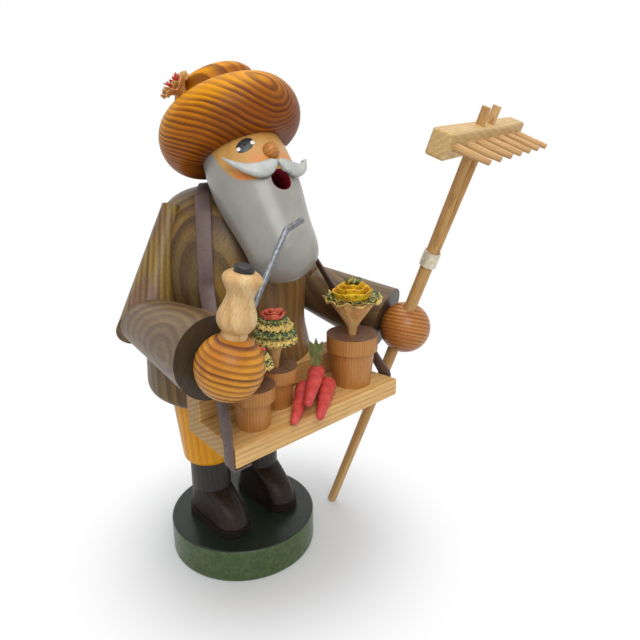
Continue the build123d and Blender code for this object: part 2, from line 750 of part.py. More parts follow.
def make_tray():
    """Board and back rail, both cut to fit round the coat."""
    coat = coat_form(GLUE_GAP)
    below = rod(from_seat(0, 0, -TRAY_THICKNESS), from_seat(0, 0, GLUE_GAP), COAT_FOOT_DIAMETER + 2 * GLUE_GAP)
    board = tray_slab(0, TRAY_DEPTH, TRAY_BOTTOM, TRAY_THICKNESS) - coat - below
    rail = tray_slab(TRAY_DEPTH - RAIL_DEPTH, TRAY_DEPTH, TRAY_TOP, RAIL_HEIGHT)
    return board, rail - (coat - rail_front(GLUE_GAP))


def tray_peg():
    """Peg from the coat into the back of the tray."""
    back = from_seat(0, -COAT_HEM_DIAMETER / 2, TRAY_UP + TRAY_PEG_UP)
    half = Vector(0, PEG_LENGTH / 2, 0)
    return peg_pair(back + half, back - half, TRAY_PEG_DIAMETER)


def pot(height, rim, rim_height, body, foot, stalk):
    """Turned flowerpot with a drilled top."""
    step = height - rim_height
    form = turned(
        Line((0, 0, 0), (foot / 2, 0, 0)),
        Line((foot / 2, 0, 0), (body / 2, 0, step)),
        Line((body / 2, 0, step), (rim / 2, 0, step)),
        Line((rim / 2, 0, step), (rim / 2, 0, height)),
        Line((rim / 2, 0, height), (0, 0, height)),
    )
    hole = Pos(0, 0, height - POT_HOLE_DEPTH) * Cylinder(stalk / 2 + POT_HOLE_PLAY, height, align=UPRIGHT)
    return form - hole


def on_tray(x, depth_in):
    return Pos(x, TRAY_EDGE + depth_in, TRAY_TOP)


def make_pots():
    small = pot(
        SMALL_POT_HEIGHT,
        SMALL_RIM_DIAMETER,
        SMALL_RIM_HEIGHT,
        SMALL_BODY_DIAMETER,
        SMALL_FOOT_DIAMETER,
        SMALL_STALK_DIAMETER,
    )
    large = pot(
        LARGE_POT_HEIGHT,
        LARGE_RIM_DIAMETER,
        LARGE_RIM_HEIGHT,
        LARGE_BODY_DIAMETER,
        LARGE_FOOT_DIAMETER,
        LARGE_STALK_DIAMETER,
    )
    deep = POT_HOLE_DEPTH / 4
    front_flower = trumpet(FRONT_FLOWER_DIAMETER, SMALL_FLOWER_HEIGHT, SMALL_STALK_DIAMETER, deep)
    back_flower = trumpet(BACK_FLOWER_DIAMETER, SMALL_FLOWER_HEIGHT, SMALL_STALK_DIAMETER, deep)
    large_flower = trumpet(LARGE_FLOWER_DIAMETER, LARGE_FLOWER_HEIGHT, LARGE_STALK_DIAMETER, deep)
    front = on_tray(FRONT_POT_X, FRONT_POT_IN)
    back = on_tray(BACK_POT_X, BACK_POT_IN)
    right = on_tray(LARGE_POT_X, LARGE_POT_IN)
    lean = Rot(Y=FRONT_FLOWER_LEAN)
    return {
        "front_pot": front * small,
        "back_pot": back * small,
        "large_pot": right * large,
        "front_flower": front * Pos(0, 0, SMALL_POT_HEIGHT) * lean * front_flower,
        "back_flower": back * Pos(0, 0, SMALL_POT_HEIGHT) * back_flower,
        "large_flower": right * Pos(0, 0, LARGE_POT_HEIGHT) * large_flower,
    }


def carrot_form(grow=0.0):
    """Carrot turned about Z from its tip upwards."""
    butt = CARROT_DIAMETER / 2 + grow
    tip = CARROT_TIP_DIAMETER / 2 + grow
    return turned(
        Spline((0, 0, -grow), (tip, 0, tip), tangents=((1, 0, 0), (0.1, 0, 1))),
        Line((tip, 0, tip), (butt, 0, CARROT_LENGTH - butt)),
        Spline((butt, 0, CARROT_LENGTH - butt), (0, 0, CARROT_LENGTH + grow), tangents=((0, 0, 1), (-1, 0, 0))),
    )


def carrot_spots():
    """Two carrots lie side by side on the tray and the third lies in the groove between them."""
    butt = CARROT_DIAMETER / 2
    tip = CARROT_TIP_DIAMETER / 2
    slope = math.degrees(math.atan((butt - tip) / (CARROT_LENGTH - butt - tip)))
    lay = Rot(Z=CARROT_TURN) * Rot(Y=90 - slope)
    first = on_tray(CARROT_TIP_X, -CARROT_OVERHANG) * Pos(0, 0, tip + CARROT_LIFT)
    along = Rot(Z=CARROT_TURN)
    nest = math.sqrt((CARROT_DIAMETER + GLUE_GAP) ** 2 - (CARROT_SPACING / 2) ** 2)
    return {
        "left_carrot": first * lay,
        "right_carrot": first * along * Pos(CARROT_STAGGER, -CARROT_SPACING, 0) * Rot(Y=90 - slope),
        "top_carrot": first * along * Pos(CARROT_STAGGER, -CARROT_SPACING / 2, nest) * Rot(Y=90 - slope),
    }


def make_leaf():
    """Flat leaf with three points, standing on the butt of the top carrot."""
    half = LEAF_WIDTH / 2
    root = CARROT_DIAMETER / 2
    top = root + LEAF_HEIGHT
    notch = top - LEAF_HEIGHT / 4
    corners = [
        (0, -half / 3, 0),
        (0, half / 3, 0),
        (0, half, notch - half),
        (0, half, top - half / 2),
        (0, half / 3, notch),
        (0, 0, top),
        (0, -half / 3, notch),
        (0, -half, top - half / 2),
        (0, -half, notch - half),
    ]
    plate = extrude(make_face(Polyline(*corners, close=True).edges()), LEAF_THICKNESS / 2, both=True)
    spot = carrot_spots()["top_carrot"] * Pos(0, 0, CARROT_LENGTH - CARROT_DIAMETER / 2) * Rot(Y=-90)
    leaf = spot * plate
    return leaf - carrot_spots()["top_carrot"] * carrot_form(GLUE_GAP)


def coat_spot(x, y):
    """Point and outward direction on the coat's shoulder above a place in plan."""
    radius = math.hypot(x, y)
    side = coat_side(0)
    low = 0.5
    high = 1.0
    for _ in range(40):
        middle = (low + high) / 2
        if (side @ middle).X > radius:
            low = middle
        else:
            high = middle
    point = side @ low
    way = side % low
    outward = Vector(way.Z * x / radius, way.Z * y / radius, -way.X)
    return from_seat(x, y, point.Z), outward.normalized()


def strap_section(point, way, outward):
    """Rectangle of strap across its run, with one broad side facing outwards."""
    across = outward.cross(way)
    return Plane(point, x_dir=across, z_dir=way) * Rectangle(STRAP_WIDTH, STRAP_THICKNESS)


def strap_rests(start, end, lift):
    """Places where a strap pulled tight from start to end lies on the coat."""
    flat_start = Vector(start.X, start.Y, 0)
    run = Vector(end.X, end.Y, 0) - flat_start
    rests = []
    steepest = 0
    for step in range(1, 100):
        share = step / 100
        place = flat_start + run * share - AXIS
        if math.hypot(place.X, place.Y) > CHEST_DIAMETER / 2 - STRAP_LIFT:
            break
        point, outward = coat_spot(place.X, place.Y)
        point = point + outward * lift
        slope = (point.Z - end.Z) / (run.length * (1 - share))
        if slope < steepest:
            break
        steepest = slope
        rests.append((point, outward))
    last = len(rests) - 1
    middle = len(rests) // 2
    picked = {middle // 2, middle, (middle + len(rests)) // 2, last}
    return [rests[index] for index in sorted(picked) if 0 <= index <= last]


def make_strap(side_name):
    """Strap from the nape over the shoulder down to the tray end and under it.

    The right strap bends round the inside of the right sleeve.
    """
    side = SIDES[side_name]
    tray_in = RIGHT_STRAP_IN if side_name == "right" else LEFT_STRAP_IN
    lift = STRAP_LIFT + STRAP_THICKNESS / 2
    stations = []
    steps = 5
    for step in range(steps):
        share = step / (steps - 1)
        x = side * (STRAP_NAPE_OUT + (STRAP_SHOULDER_OUT - STRAP_NAPE_OUT) * share)
        y = STRAP_NAPE_BACK - (STRAP_NAPE_BACK + STRAP_SHOULDER_FRONT) * share
        point, outward = coat_spot(x, y)
        stations.append((point + outward * lift, outward))
    slant = Vector(side * TRAY_DEPTH, (TRAY_WIDTH - TRAY_BACK_WIDTH) / 2, 0).normalized()
    edge = Vector(side * tray_half_width(tray_in), TRAY_EDGE + tray_in, TRAY_TOP) + slant * lift
    foot = edge - Vector(0, 0, TRAY_THICKNESS)
    under = Vector(0, 0, -1)
    tuck = foot - slant * (STRAP_TUCK + lift) + under * lift
    if side_name == "right":
        bend = from_seat(-STRAP_BEND_OUT, -STRAP_BEND_FRONT, STRAP_BEND_UP)
        stations.extend(strap_rests(stations[-1][0], bend, lift))
        stations.append((bend, Vector(-1, 0.1, 0.3)))
    else:
        stations.extend(strap_rests(stations[-1][0], edge, lift))
    stations.append((edge - under * STRAP_THICKNESS, slant))
    stations.append((foot + under * lift, (slant + under).normalized()))
    stations.append((tuck, under))
    sections = []
    last = len(stations) - 1
    for index, (point, outward) in enumerate(stations):
        before = stations[max(index - 1, 0)][0]
        after = stations[min(index + 1, last)][0]
        way = (after - before).normalized()
        outward = (outward - way * outward.dot(way)).normalized()
        sections.append(strap_section(point, way, outward))
    return loft(sections, ruled=True)


def rake_grip():
    """Where the middle of the handle crosses the left hand."""
    return arm_points("left")[2] - Vector(RAKE_IN, 0, 0)


def rake_frame():
    """Foot on the ground, direction up the handle, along the head and along the tines."""
    grip = rake_grip()
    way = Vector(math.tan(math.radians(RAKE_SIDE_LEAN)), -math.tan(math.radians(RAKE_LEAN)), 1).normalized()
    foot = grip - way * (grip.Z / way.Z)
    level = Vector(0, 1, 0).cross(way).normalized()
    along = level.rotate(Axis((0, 0, 0), way), RAKE_TURN)
    tine_way = along.cross(way)
    return foot, way, along, tine_way


def rake_hand_height():
    """Distance up the handle from the ground to the middle of the hand."""
    return (rake_grip() - rake_frame()[0]).length


def handle_diameter(height):
    """Diameter of the tapering handle at a distance up from the ground."""
    top = rake_hand_height() + FERRULE_UP + FERRULE_LENGTH / 2
    return RAKE_FOOT_DIAMETER + (RAKE_NECK_DIAMETER - RAKE_FOOT_DIAMETER) * height / top


def make_prong(side, grow=0.0):
    """One half of the split handle, from the ferrule out through the rake head."""
    foot, way, along, _ = rake_frame()
    fork = rake_hand_height() + FERRULE_UP + FERRULE_LENGTH / 2 - PRONG_GAP
    half = RAKE_NECK_DIAMETER / 2
    start = foot + way * fork + along * side * (half / 2 + PRONG_GAP / 2)
    tip = foot + way * (RAKE_LENGTH + RAKE_HEAD_HEIGHT / 2 + PRONG_OVERRUN)
    tip = tip + along * side * PRONG_SPREAD
    root_size = (half * PRONG_ROOT_THIN + grow, half * PRONG_ROOT_BROAD + grow)
    low = Plane(start, x_dir=along, z_dir=tip - start) * Ellipse(*root_size)
    tip_size = (PRONG_TIP_THICKNESS / 2 + grow, PRONG_TIP_WIDTH / 2 + grow)
    high = Plane(tip, x_dir=along, z_dir=tip - start) * Ellipse(*tip_size)
    return loft([low, high])


def make_rake_handle():
    """Tapering handle, split above the ferrule into two prongs."""
    foot, way, _, _ = rake_frame()
    tilt = math.acos(way.Z)
    start = RAKE_FOOT_DIAMETER / 2 * math.tan(tilt) + RAKE_FOOT_LIFT
    top = rake_hand_height() + FERRULE_UP + FERRULE_LENGTH / 2
    handle = rod(foot + way * start, foot + way * top, handle_diameter(start), RAKE_NECK_DIAMETER)
    return handle + make_prong(-1) + make_prong(1)


def make_ferrule():
    foot, way, _, _ = rake_frame()
    low = foot + way * (rake_hand_height() + FERRULE_UP - FERRULE_LENGTH / 2)
    high = low + way * FERRULE_LENGTH
    bore = RAKE_NECK_DIAMETER + 2 * PRONG_GAP
    return rod(low, high, bore + 2 * FERRULE_WALL) - rod(low - way, high + way, bore)


def tine_rods(grow=0.0):
    """Row of tapered tines set in the front of the rake head."""
    foot, way, along, tine_way = rake_frame()
    middle = foot + way * RAKE_LENGTH + tine_way * (RAKE_HEAD_DEPTH / 2)
    rods = []
    for index in range(TINE_COUNT):
        root = middle + along * ((index - (TINE_COUNT - 1) / 2) * TINE_PITCH)
        start = root - tine_way * (TINE_SOCKET + grow)
        end = root + tine_way * TINE_LENGTH
        rods.append(rod(start, end, TINE_DIAMETER + 2 * grow, TINE_TIP_DIAMETER + 2 * grow))
    return rods


def make_rake_head():
    foot, way, along, _ = rake_frame()
    block = Box(RAKE_HEAD_LENGTH, RAKE_HEAD_DEPTH, RAKE_HEAD_HEIGHT)
    block = fillet(block.edges(), BASE_EDGE)
    head = Plane(foot + way * RAKE_LENGTH, x_dir=along, z_dir=way) * block
    for side in SIDES.values():
        head -= make_prong(side, PEG_GAP)
    for tine in tine_rods(PEG_GAP):
        head -= tine
    return head


def rake_bore():
    """Bore through the left hand that guides the rake handle."""
    foot, way, _, _ = rake_frame()
    middle = rake_hand_height()
    width = handle_diameter(middle + HAND_DIAMETER / 2) + 2 * RAKE_BORE_GAP
    return rod(foot + way * (middle - HAND_DIAMETER), foot + way * (middle + HAND_DIAMETER), width)


def assemble():
    """Every piece by name, with the holes cut that let the pieces fit."""
    parts = {"base_disc": make_base()}
    shoe_pegs = []
    trousers = make_trousers()
    for name, side in SIDES.items():
        peg, hole = shoe_peg(side)
        shoe_pegs.append(peg)
        parts["base_disc"] -= hole
        parts[f"{name}_shoe"] = make_shoe(side) - hole - leg_mortise(side)
        parts[f"{name}_leg"] = make_leg(side)
        trousers -= leg_mortise(side)
    parts["shoe_pegs"] = Compound(children=shoe_pegs)
    parts["trousers"] = trousers

    nail_way = from_seat(0, 0, PLUG_HEIGHT + DISH_SHEET - NAIL_LENGTH - PEG_GAP)
    nail_hole = rod(nail_way, nail_way + Vector(0, 0, FAR), NAIL_DIAMETER + 2 * PEG_GAP)
    parts["chamber_plug"] = make_plug() - nail_hole
    parts["incense_dish"] = make_dish()
    parts["dish_nail"] = make_nail()

    torso = coat_form() - front_of_flat() - rail_front() - make_chamber() - smoke_way()
    neck, neck_hole = neck_peg()
    hat_pin, hat_hole = hat_peg()
    nose, nose_hole = nose_pieces()
    tray_pin, tray_hole = tray_peg()
    coat_block = coat_form(GLUE_GAP) - front_of_flat(GLUE_GAP)
    head = HEAD_SPOT * head_form() - coat_block - smoke_way()
    parts["head"] = head - neck_hole - hat_hole - nose_hole
    parts["nose"] = nose
    parts["neck_peg"] = neck
    parts["hat_peg"] = hat_pin
    parts["tray_peg"] = tray_pin
    torso = torso - neck_hole - tray_hole

    flower_spot = hat_flower_spot()
    flower_hole = Cylinder(HAT_STALK_DIAMETER / 2 + PEG_GAP, 2 * HAT_STALK_DEPTH + 2 * PEG_GAP)
    hat = HAT_SPOT * hat_form() - HEAD_SPOT * head_form(GLUE_GAP) - hat_hole
    parts["hat"] = hat - flower_spot * flower_hole
    parts["hat_flower"] = flower_spot * trumpet(
        HAT_FLOWER_DIAMETER, HAT_FLOWER_LENGTH, HAT_STALK_DIAMETER, HAT_STALK_DEPTH
    )

    lid, lid_hole = make_lid()
    stem_foot, stem_bend, _ = stem_route()
    stem_hole = rod(stem_foot, stem_bend, STEM_DIAMETER + 2 * PEG_GAP)
    for name, side in SIDES.items():
        arm = make_arm(name)
        torso -= arm.pop("shoulder_hole")
        for piece, shape in arm.items():
            parts[f"{name}_{piece}"] = shape
        parts[f"{name}_moustache"] = make_moustache(side)
        parts[f"{name}_strap"] = make_strap(name)
    parts["torso"] = torso
    parts["right_hand"] -= pipe_spot() * pipe_socket()
    parts["left_hand"] -= rake_bore()
    parts["pipe_bowl"] = pipe_spot() * (make_pipe_bowl() - lid_hole) - stem_hole
    parts["pipe_lid"] = pipe_spot() * lid
    parts["pipe_stem"] = make_stem()

    board, parts["tray_rail"] = make_tray()
    parts["tray_board"] = board - tray_hole
    parts.update(make_pots())
    for name, spot in carrot_spots().items():
        parts[name] = spot * carrot_form()
    parts["carrot_leaf"] = make_leaf()

    parts["rake_handle"] = make_rake_handle()
    parts["rake_ferrule"] = make_ferrule()
    parts["rake_head"] = make_rake_head()
    parts["rake_tines"] = Compound(children=tine_rods())
    return parts


os.makedirs("parts", exist_ok=True)
for node, solid in assemble().items():
    export_step(solid, f"parts/{node}.step")
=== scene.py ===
"""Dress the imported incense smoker: stained woods, paint, shaving flowers, straps, light and camera."""
import math
import random

import bmesh
import bpy
from mathutils import Matrix, Vector
from mathutils.bvhtree import BVHTree


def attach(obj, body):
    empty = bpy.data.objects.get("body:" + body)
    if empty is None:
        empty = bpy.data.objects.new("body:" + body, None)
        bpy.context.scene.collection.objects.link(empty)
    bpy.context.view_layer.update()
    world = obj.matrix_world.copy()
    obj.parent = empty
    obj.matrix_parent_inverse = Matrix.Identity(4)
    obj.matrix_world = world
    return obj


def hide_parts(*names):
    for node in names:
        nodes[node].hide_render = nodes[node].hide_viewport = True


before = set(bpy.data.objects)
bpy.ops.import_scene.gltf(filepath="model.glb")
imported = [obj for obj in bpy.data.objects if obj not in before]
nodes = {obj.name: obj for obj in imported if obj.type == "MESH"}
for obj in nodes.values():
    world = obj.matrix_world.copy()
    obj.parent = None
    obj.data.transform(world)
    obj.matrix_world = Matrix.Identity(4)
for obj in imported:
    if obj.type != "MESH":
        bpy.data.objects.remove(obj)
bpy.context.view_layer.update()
MM = 0.001
UP = (0.0, 0.0, 1.0)
WHITE = (1.0, 1.0, 1.0, 1.0)

# Places shared with the solid model: lengths in millimetres, angles given in degrees
TORSO_AXIS = Vector((0.0, 5.0, 0.0))
HEAD_UP = 185.2
HEAD_FORWARD = 24.0
HEAD_TURN = math.radians(-4.6)
HEAD_TILT = math.radians(-37.8)
HEAD_RADIUS = 17.7
HAT_RISE = 23.6
HAT_TURN = math.radians(3.4)
HAT_TILT = math.radians(-30.9)
CROWN_RADIUS = 17.6
MOUTH_DROP = 12.1
MOUTH_RADIUS = 4.2
TRAY_TOP = 94.0
FRONT_POT = Vector((-28.8, -49.3, 111.2))
BACK_POT = Vector((-10.4, -41.3, 111.2))
LARGE_POT = Vector((28.5, -48.1, 117.4))


def srgb(red, green, blue):
    """Linear colour from an 8-bit colour as it looks on screen."""
    out = []
    for value in (red, green, blue):
        share = value / 255
        out.append(share / 12.92 if share <= 0.04045 else ((share + 0.055) / 1.055) ** 2.4)
    return (*out, 1.0)


# Frame of the leaning head, with its origin in the middle of its widest ring
HEAD = (
    Matrix.Translation(TORSO_AXIS)
    @ Matrix.Rotation(HEAD_TURN, 4, "Z")
    @ Matrix.Translation((0, -HEAD_FORWARD, HEAD_UP))
    @ Matrix.Rotation(HEAD_TILT, 4, "X")
)
# Frame of the hat, with its origin in the middle of its brim
HAT = (
    Matrix.Translation(HEAD @ Vector((0, 0, HAT_RISE)))
    @ Matrix.Rotation(HAT_TURN, 4, "Z")
    @ Matrix.Rotation(HAT_TILT, 4, "X")
)


class Paint:
    """Small helper that builds one node material."""

    def __init__(self, name, roughness=0.45):
        self.material = bpy.data.materials.new(name)
        self.material.use_nodes = True
        self.tree = self.material.node_tree
        self.shader = self.tree.nodes["Principled BSDF"]
        self.shader.inputs["Roughness"].default_value = roughness

    def node(self, kind, feeds=None, **settings):
        """New node with its settings, and with constants or other nodes' outputs fed to its sockets."""
        made = self.tree.nodes.new(kind)
        for key, value in settings.items():
            setattr(made, key, value)
        for key, value in (feeds or {}).items():
            self.feed(made.inputs[key], value)
        return made

    def link(self, out, into):
        self.tree.links.new(out, into)

    def feed(self, socket, value):
        """Set a socket to a constant or link another node's output to it."""
        if hasattr(value, "is_output"):
            self.link(value, socket)
        else:
            socket.default_value = value

    def math(self, operation, first, second=0.0):
        return self.node("ShaderNodeMath", {0: first, 1: second}, operation=operation).outputs[0]

    def times(self, first, second):
        return self.math("MULTIPLY", first, second)

    def plus(self, first, second):
        return self.math("ADD", first, second)

    def reach(self, first, second):
        """Length of the slope over two sides at right angles."""
        return self.math("SQRT", self.plus(self.times(first, first), self.times(second, second)))

    def vector(self, operation, first, second=(0.0, 0.0, 0.0)):
        made = self.node("ShaderNodeVectorMath", {0: first, 1: second}, operation=operation)
        return made.outputs["Value"] if operation in ("DOT_PRODUCT", "LENGTH") else made.outputs["Vector"]

    def scaled(self, vector, factor):
        feeds = {0: vector, "Scale": factor}
        return self.node("ShaderNodeVectorMath", feeds, operation="SCALE").outputs["Vector"]

    def point(self):
        """Position on the object in the shared frame, in millimetres."""
        return self.scaled(self.node("ShaderNodeTexCoord").outputs["Object"], 1 / MM)

    def along(self, direction):
        """Distance of the point along a direction, in millimetres."""
        return self.vector("DOT_PRODUCT", self.point(), tuple(direction))

    def facing(self, direction):
        """How squarely the surface faces a direction, from -1 to 1."""
        normal = self.node("ShaderNodeTexCoord").outputs["Normal"]
        return self.vector("DOT_PRODUCT", normal, tuple(direction))

    def local(self, matrix):
        """Position in another frame, as separate x, y and z outputs in millimetres."""
        moved = self.vector("SUBTRACT", self.point(), tuple(matrix.translation))
        turn = matrix.to_3x3()
        return [self.vector("DOT_PRODUCT", moved, tuple(turn.col[axis])) for axis in range(3)]

    def noise(self, vector, scale, detail=3.0, roughness=0.55):
        feeds = {"Vector": vector, "Scale": scale, "Detail": detail, "Roughness": roughness}
        return self.node("ShaderNodeTexNoise", feeds).outputs["Fac"]

    def step(self, value, none, full):
        """Smooth change from 0 at one limit to 1 at the other, which may be the lower one."""
        feeds = {
            "Value": value, "From Min": min(none, full), "From Max": max(none, full),
            "To Min": float(none > full), "To Max": float(none < full),
        }
        return self.node("ShaderNodeMapRange", feeds, interpolation_type="SMOOTHSTEP").outputs["Result"]

    def mix(self, share, first, second, blend="MIX"):
        feeds = {"Factor": share, 6: first, 7: second}
        return self.node("ShaderNodeMix", feeds, data_type="RGBA", blend_type=blend).outputs[2]

    def colour(self, value):
        self.feed(self.shader.inputs["Base Color"], value)

    def rough(self, value, low, high):
        made = self.node("ShaderNodeMapRange", {"Value": value, "To Min": low, "To Max": high})
        self.link(made.outputs["Result"], self.shader.inputs["Roughness"])

    def bump(self, height, depth_mm, strength):
        feeds = {"Strength": strength, "Distance": depth_mm * MM, "Height": height}
        made = self.node("ShaderNodeBump", feeds)
        self.link(made.outputs["Normal"], self.shader.inputs["Normal"])

    def lacquer(self, weight, roughness):
        self.shader.inputs["Coat Weight"].default_value = weight
        self.shader.inputs["Coat Roughness"].default_value = roughness

    def specular(self, level):
        self.shader.inputs["Specular IOR Level"].default_value = level

    def painted(self):
        """Output that colours the material so far."""
        return self.shader.inputs["Base Color"].links[0].from_socket


def stretched(paint, place, grain, keep=0.06):
    """Position squeezed along the grain, so that noise in it runs out into fibres."""
    way = tuple(Vector(grain).normalized())
    run = paint.vector("DOT_PRODUCT", place, way)
    return paint.vector("SUBTRACT", place, paint.scaled(way, paint.times(run, 1 - keep)))


def layers(normal):
    """Growth layers that lie flat across a direction."""
    way = tuple(Vector(normal).normalized())
    return lambda paint, place: paint.vector("DOT_PRODUCT", place, way)


def arches(centre, grain, squeeze):
    """Nested arches around a place where the cut runs along the layers."""

    def distance(paint, place):
        moved = paint.vector("SUBTRACT", place, centre)
        return paint.vector("LENGTH", stretched(paint, moved, grain, squeeze))

    return distance


def rings(pith, grain):
    """Growth rings around a pith line."""
    return arches(pith, grain, squeeze=0.0)


def crowded(field, rate, start):
    """Growth layers that lie closer together further out."""

    def distance(paint, place):
        near = field(paint, place)
        gain = paint.plus(paint.times(near, rate), 1.0)
        return paint.plus(paint.times(near, gain), start)

    return distance


# Shares of one growth layer where late wood starts, is full and begins to end, and how far years differ
LATE_START = 0.28
LATE_FULL = 0.78
LATE_END = 0.88
YEAR_CHANGE = 0.45
# Shares of their length along the grain that waves and patches of stain keep
WAVE_KEEP = 0.35
PATCH_KEEP = 0.3


def figured(paint, place, field, spacing, grain, waves, broad=0.0):
    """Amount of dark late wood from 0 to 1, different in each growth layer."""
    wave_height, wave_size = waves
    drawn = stretched(paint, place, grain, WAVE_KEEP)
    wobble = paint.noise(drawn, 1 / wave_size, detail=2.0, roughness=0.5)
    warped = paint.plus(field(paint, place), paint.times(wobble, wave_height))
    count = paint.math("DIVIDE", warped, spacing)
    ring = paint.math("FRACT", count)
    rise = paint.step(ring, LATE_START - broad, LATE_FULL - broad / 2)
    fall = paint.step(ring, 1.0, LATE_END)
    whole = paint.math("FLOOR", count)
    year = paint.node("ShaderNodeTexWhiteNoise", {"W": whole}, noise_dimensions="1D")
    weight = paint.plus(paint.times(year.outputs["Value"], YEAR_CHANGE), 1 - YEAR_CHANGE)
    return paint.times(paint.times(rise, fall), weight)


def fine_fibres(paint, place, grain):
    """Fine noise that runs out along the grain."""
    return paint.noise(stretched(paint, place, grain), 1.8, detail=4.0, roughness=0.7)


def fibred(paint, colour, fibres, shade, start, weight):
    """Colour darkened by a shade along the fibres."""
    dark = paint.mix(1.0, colour, shade, "MULTIPLY")
    return paint.mix(paint.times(paint.step(fibres, start, 0.7), weight), colour, dark)


def wood(
    name, early, late, field, spacing, grain=UP, waves=(3.0, 22.0), fibre=0.35, roughness=(0.32, 0.5),
    lacquer=0.2, tint=None, tint_size=18.0, broad=0.0,
):
    """Stained wood with growth layers, whose waves are a height and a size, patches, fibres and lacquer."""
    paint = Paint(name)
    place = paint.point()
    late_wood = figured(paint, place, field, spacing, grain, waves, broad)
    base = srgb(*early)
    if tint:
        drawn = stretched(paint, place, grain, PATCH_KEEP)
        patches = paint.noise(drawn, 1 / tint_size, detail=2.0, roughness=0.5)
        base = paint.mix(paint.step(patches, 0.4, 0.62), base, srgb(*tint))
    colour = paint.mix(late_wood, base, srgb(*late))
    fibres = fine_fibres(paint, place, grain)
    colour = fibred(paint, colour, fibres, srgb(168, 152, 140), 0.42, fibre)
    finish(paint, colour, fibres, late_wood, roughness, lacquer)
    return paint


def finish(paint, colour, fibres, late_wood, roughness, lacquer):
    """Colour, gloss and fine relief that all the woods share."""
    paint.colour(colour)
    paint.rough(fibres, *roughness)
    height = paint.plus(paint.times(late_wood, 0.6), fibres)
    paint.bump(height, depth_mm=0.07, strength=0.3)
    paint.lacquer(lacquer, 0.22)
    paint.specular(0.24)


def dress(paint, *names):
    """Give CAD nodes a paint."""
    for name in names:
        mesh = nodes[name].data
        mesh.materials.clear()
        mesh.materials.append(paint.material)


# Place on the brim that the growth layers lie around, and the ways that layers and fibres run
BRIM_EYE = (-0.8, -28.2, 222.0)
BRIM_GRAIN = (0.72, -0.69, 0.0)
CROWN_LAYERS = (0.86, 0.48, 0.12)
HAT_FIBRES = (1.0, 0.2, 0.0)
# Ways faced by the hat's paler top and darker front, which are painted light and painted shade
HAT_PAINTED_LIGHT_SIDE = (-0.45, 0.1, 0.88)
HAT_PAINTED_SHADE_SIDE = (0.2, -0.94, -0.26)


def hat_paint():
    """Golden pine with bold brown layers, turned so that the brim and the crown show different figure."""
    paint = Paint("hat_pine")
    place = paint.point()
    x, y, z = paint.local(HAT)
    crown = paint.times(paint.step(paint.reach(x, y), 18.8, 18.0), paint.step(z, 11.2, 11.9))
    brim = crowded(arches(BRIM_EYE, BRIM_GRAIN, squeeze=0.48), rate=0.047, start=-3.4)
    brim_late = figured(paint, place, brim, spacing=4.8, grain=BRIM_GRAIN, waves=(9.0, 18.0), broad=0.16)
    # Painted light: the brim's dark layers fade where it faces up and to the left
    outside_painted_light = paint.step(paint.facing(HAT_PAINTED_LIGHT_SIDE), 0.95, 0.55)
    brim_late = paint.times(brim_late, paint.plus(paint.times(outside_painted_light, 0.55), 0.45))
    flat = layers(CROWN_LAYERS)
    crown_late = figured(paint, place, flat, spacing=4.6, grain=UP, waves=(3.5, 30.0), broad=0.2)
    brim_late = paint.times(brim_late, paint.math("SUBTRACT", 1.0, crown))
    late = paint.plus(brim_late, paint.times(paint.times(crown_late, crown), 0.8))
    # Painted light and painted shade: the early wood is paler where the hat faces up and darker where it
    # faces down
    lit = paint.step(paint.facing(HAT.to_3x3().col[2]), -0.55, 0.45)
    early = paint.mix(lit, srgb(176, 100, 10), srgb(228, 152, 2))
    # Painted shade: the early wood turns darker brown where the hat faces forward and down
    front = paint.step(paint.facing(HAT_PAINTED_SHADE_SIDE), 0.2, 0.75)
    early = paint.mix(paint.times(front, 0.7), early, srgb(136, 72, 18))
    patches = paint.noise(stretched(paint, place, HAT_FIBRES, PATCH_KEEP), 1 / 13.0, detail=2.0)
    early = paint.mix(paint.times(paint.step(patches, 0.45, 0.65), 0.6), early, srgb(190, 108, 8))
    colour = paint.mix(paint.times(late, 0.95), early, srgb(92, 42, 18))
    fibres = fine_fibres(paint, place, HAT_FIBRES)
    colour = fibred(paint, colour, fibres, srgb(176, 156, 140), 0.45, 0.3)
    finish(paint, colour, fibres, late, roughness=(0.36, 0.52), lacquer=0.02)
    paint.specular(0.14)
    return paint


# The painted beard line in the head's frame: low at the front, rising in a bend towards the temples
BEARD_FRONT = -10.2
BEARD_RISE = 24.0
BEARD_BEND = 5.5
BEARD_TURN = math.radians(79.0)
BEARD_WOBBLE = 0.8


def beard_edge(paint, x, y, wobble):
    """Height of the painted beard line on the face: low under the nose and rising at the temples."""
    turn = paint.math("ABSOLUTE", paint.math("ARCTAN2", x, paint.times(y, -1.0)))
    share = paint.math("DIVIDE", turn, BEARD_TURN)
    rise = paint.times(paint.math("POWER", share, BEARD_BEND), BEARD_RISE)
    return paint.plus(paint.plus(rise, BEARD_FRONT), paint.times(wobble, BEARD_WOBBLE))


def spot(paint, x, y, z, centre, size):
    """Soft round patch around a centre that is given in the frame of x, y and z."""
    parts = []
    for axis, middle in zip((x, y, z), centre):
        away = paint.math("SUBTRACT", axis, middle)
        parts.append(paint.times(away, away))
    distance = paint.math("SQRT", paint.plus(paint.plus(parts[0], parts[1]), parts[2]))
    return paint.step(distance, size, size * 0.2)


HEAD_PITH = (40.0, 60.0, 150.0)
HEAD_GRAIN = (0.1, 0.5, 0.86)
# Rouge on each side of the face: place in the head's frame, size and weight
ROUGE = (
    ((13.2, -11.6, -7.6), 6.0, 0.6),
    ((6.5, -16.4, -2.6), 5.2, 0.38),
    ((3.0, -17.4, 12.0), 6.0, 0.15),
)


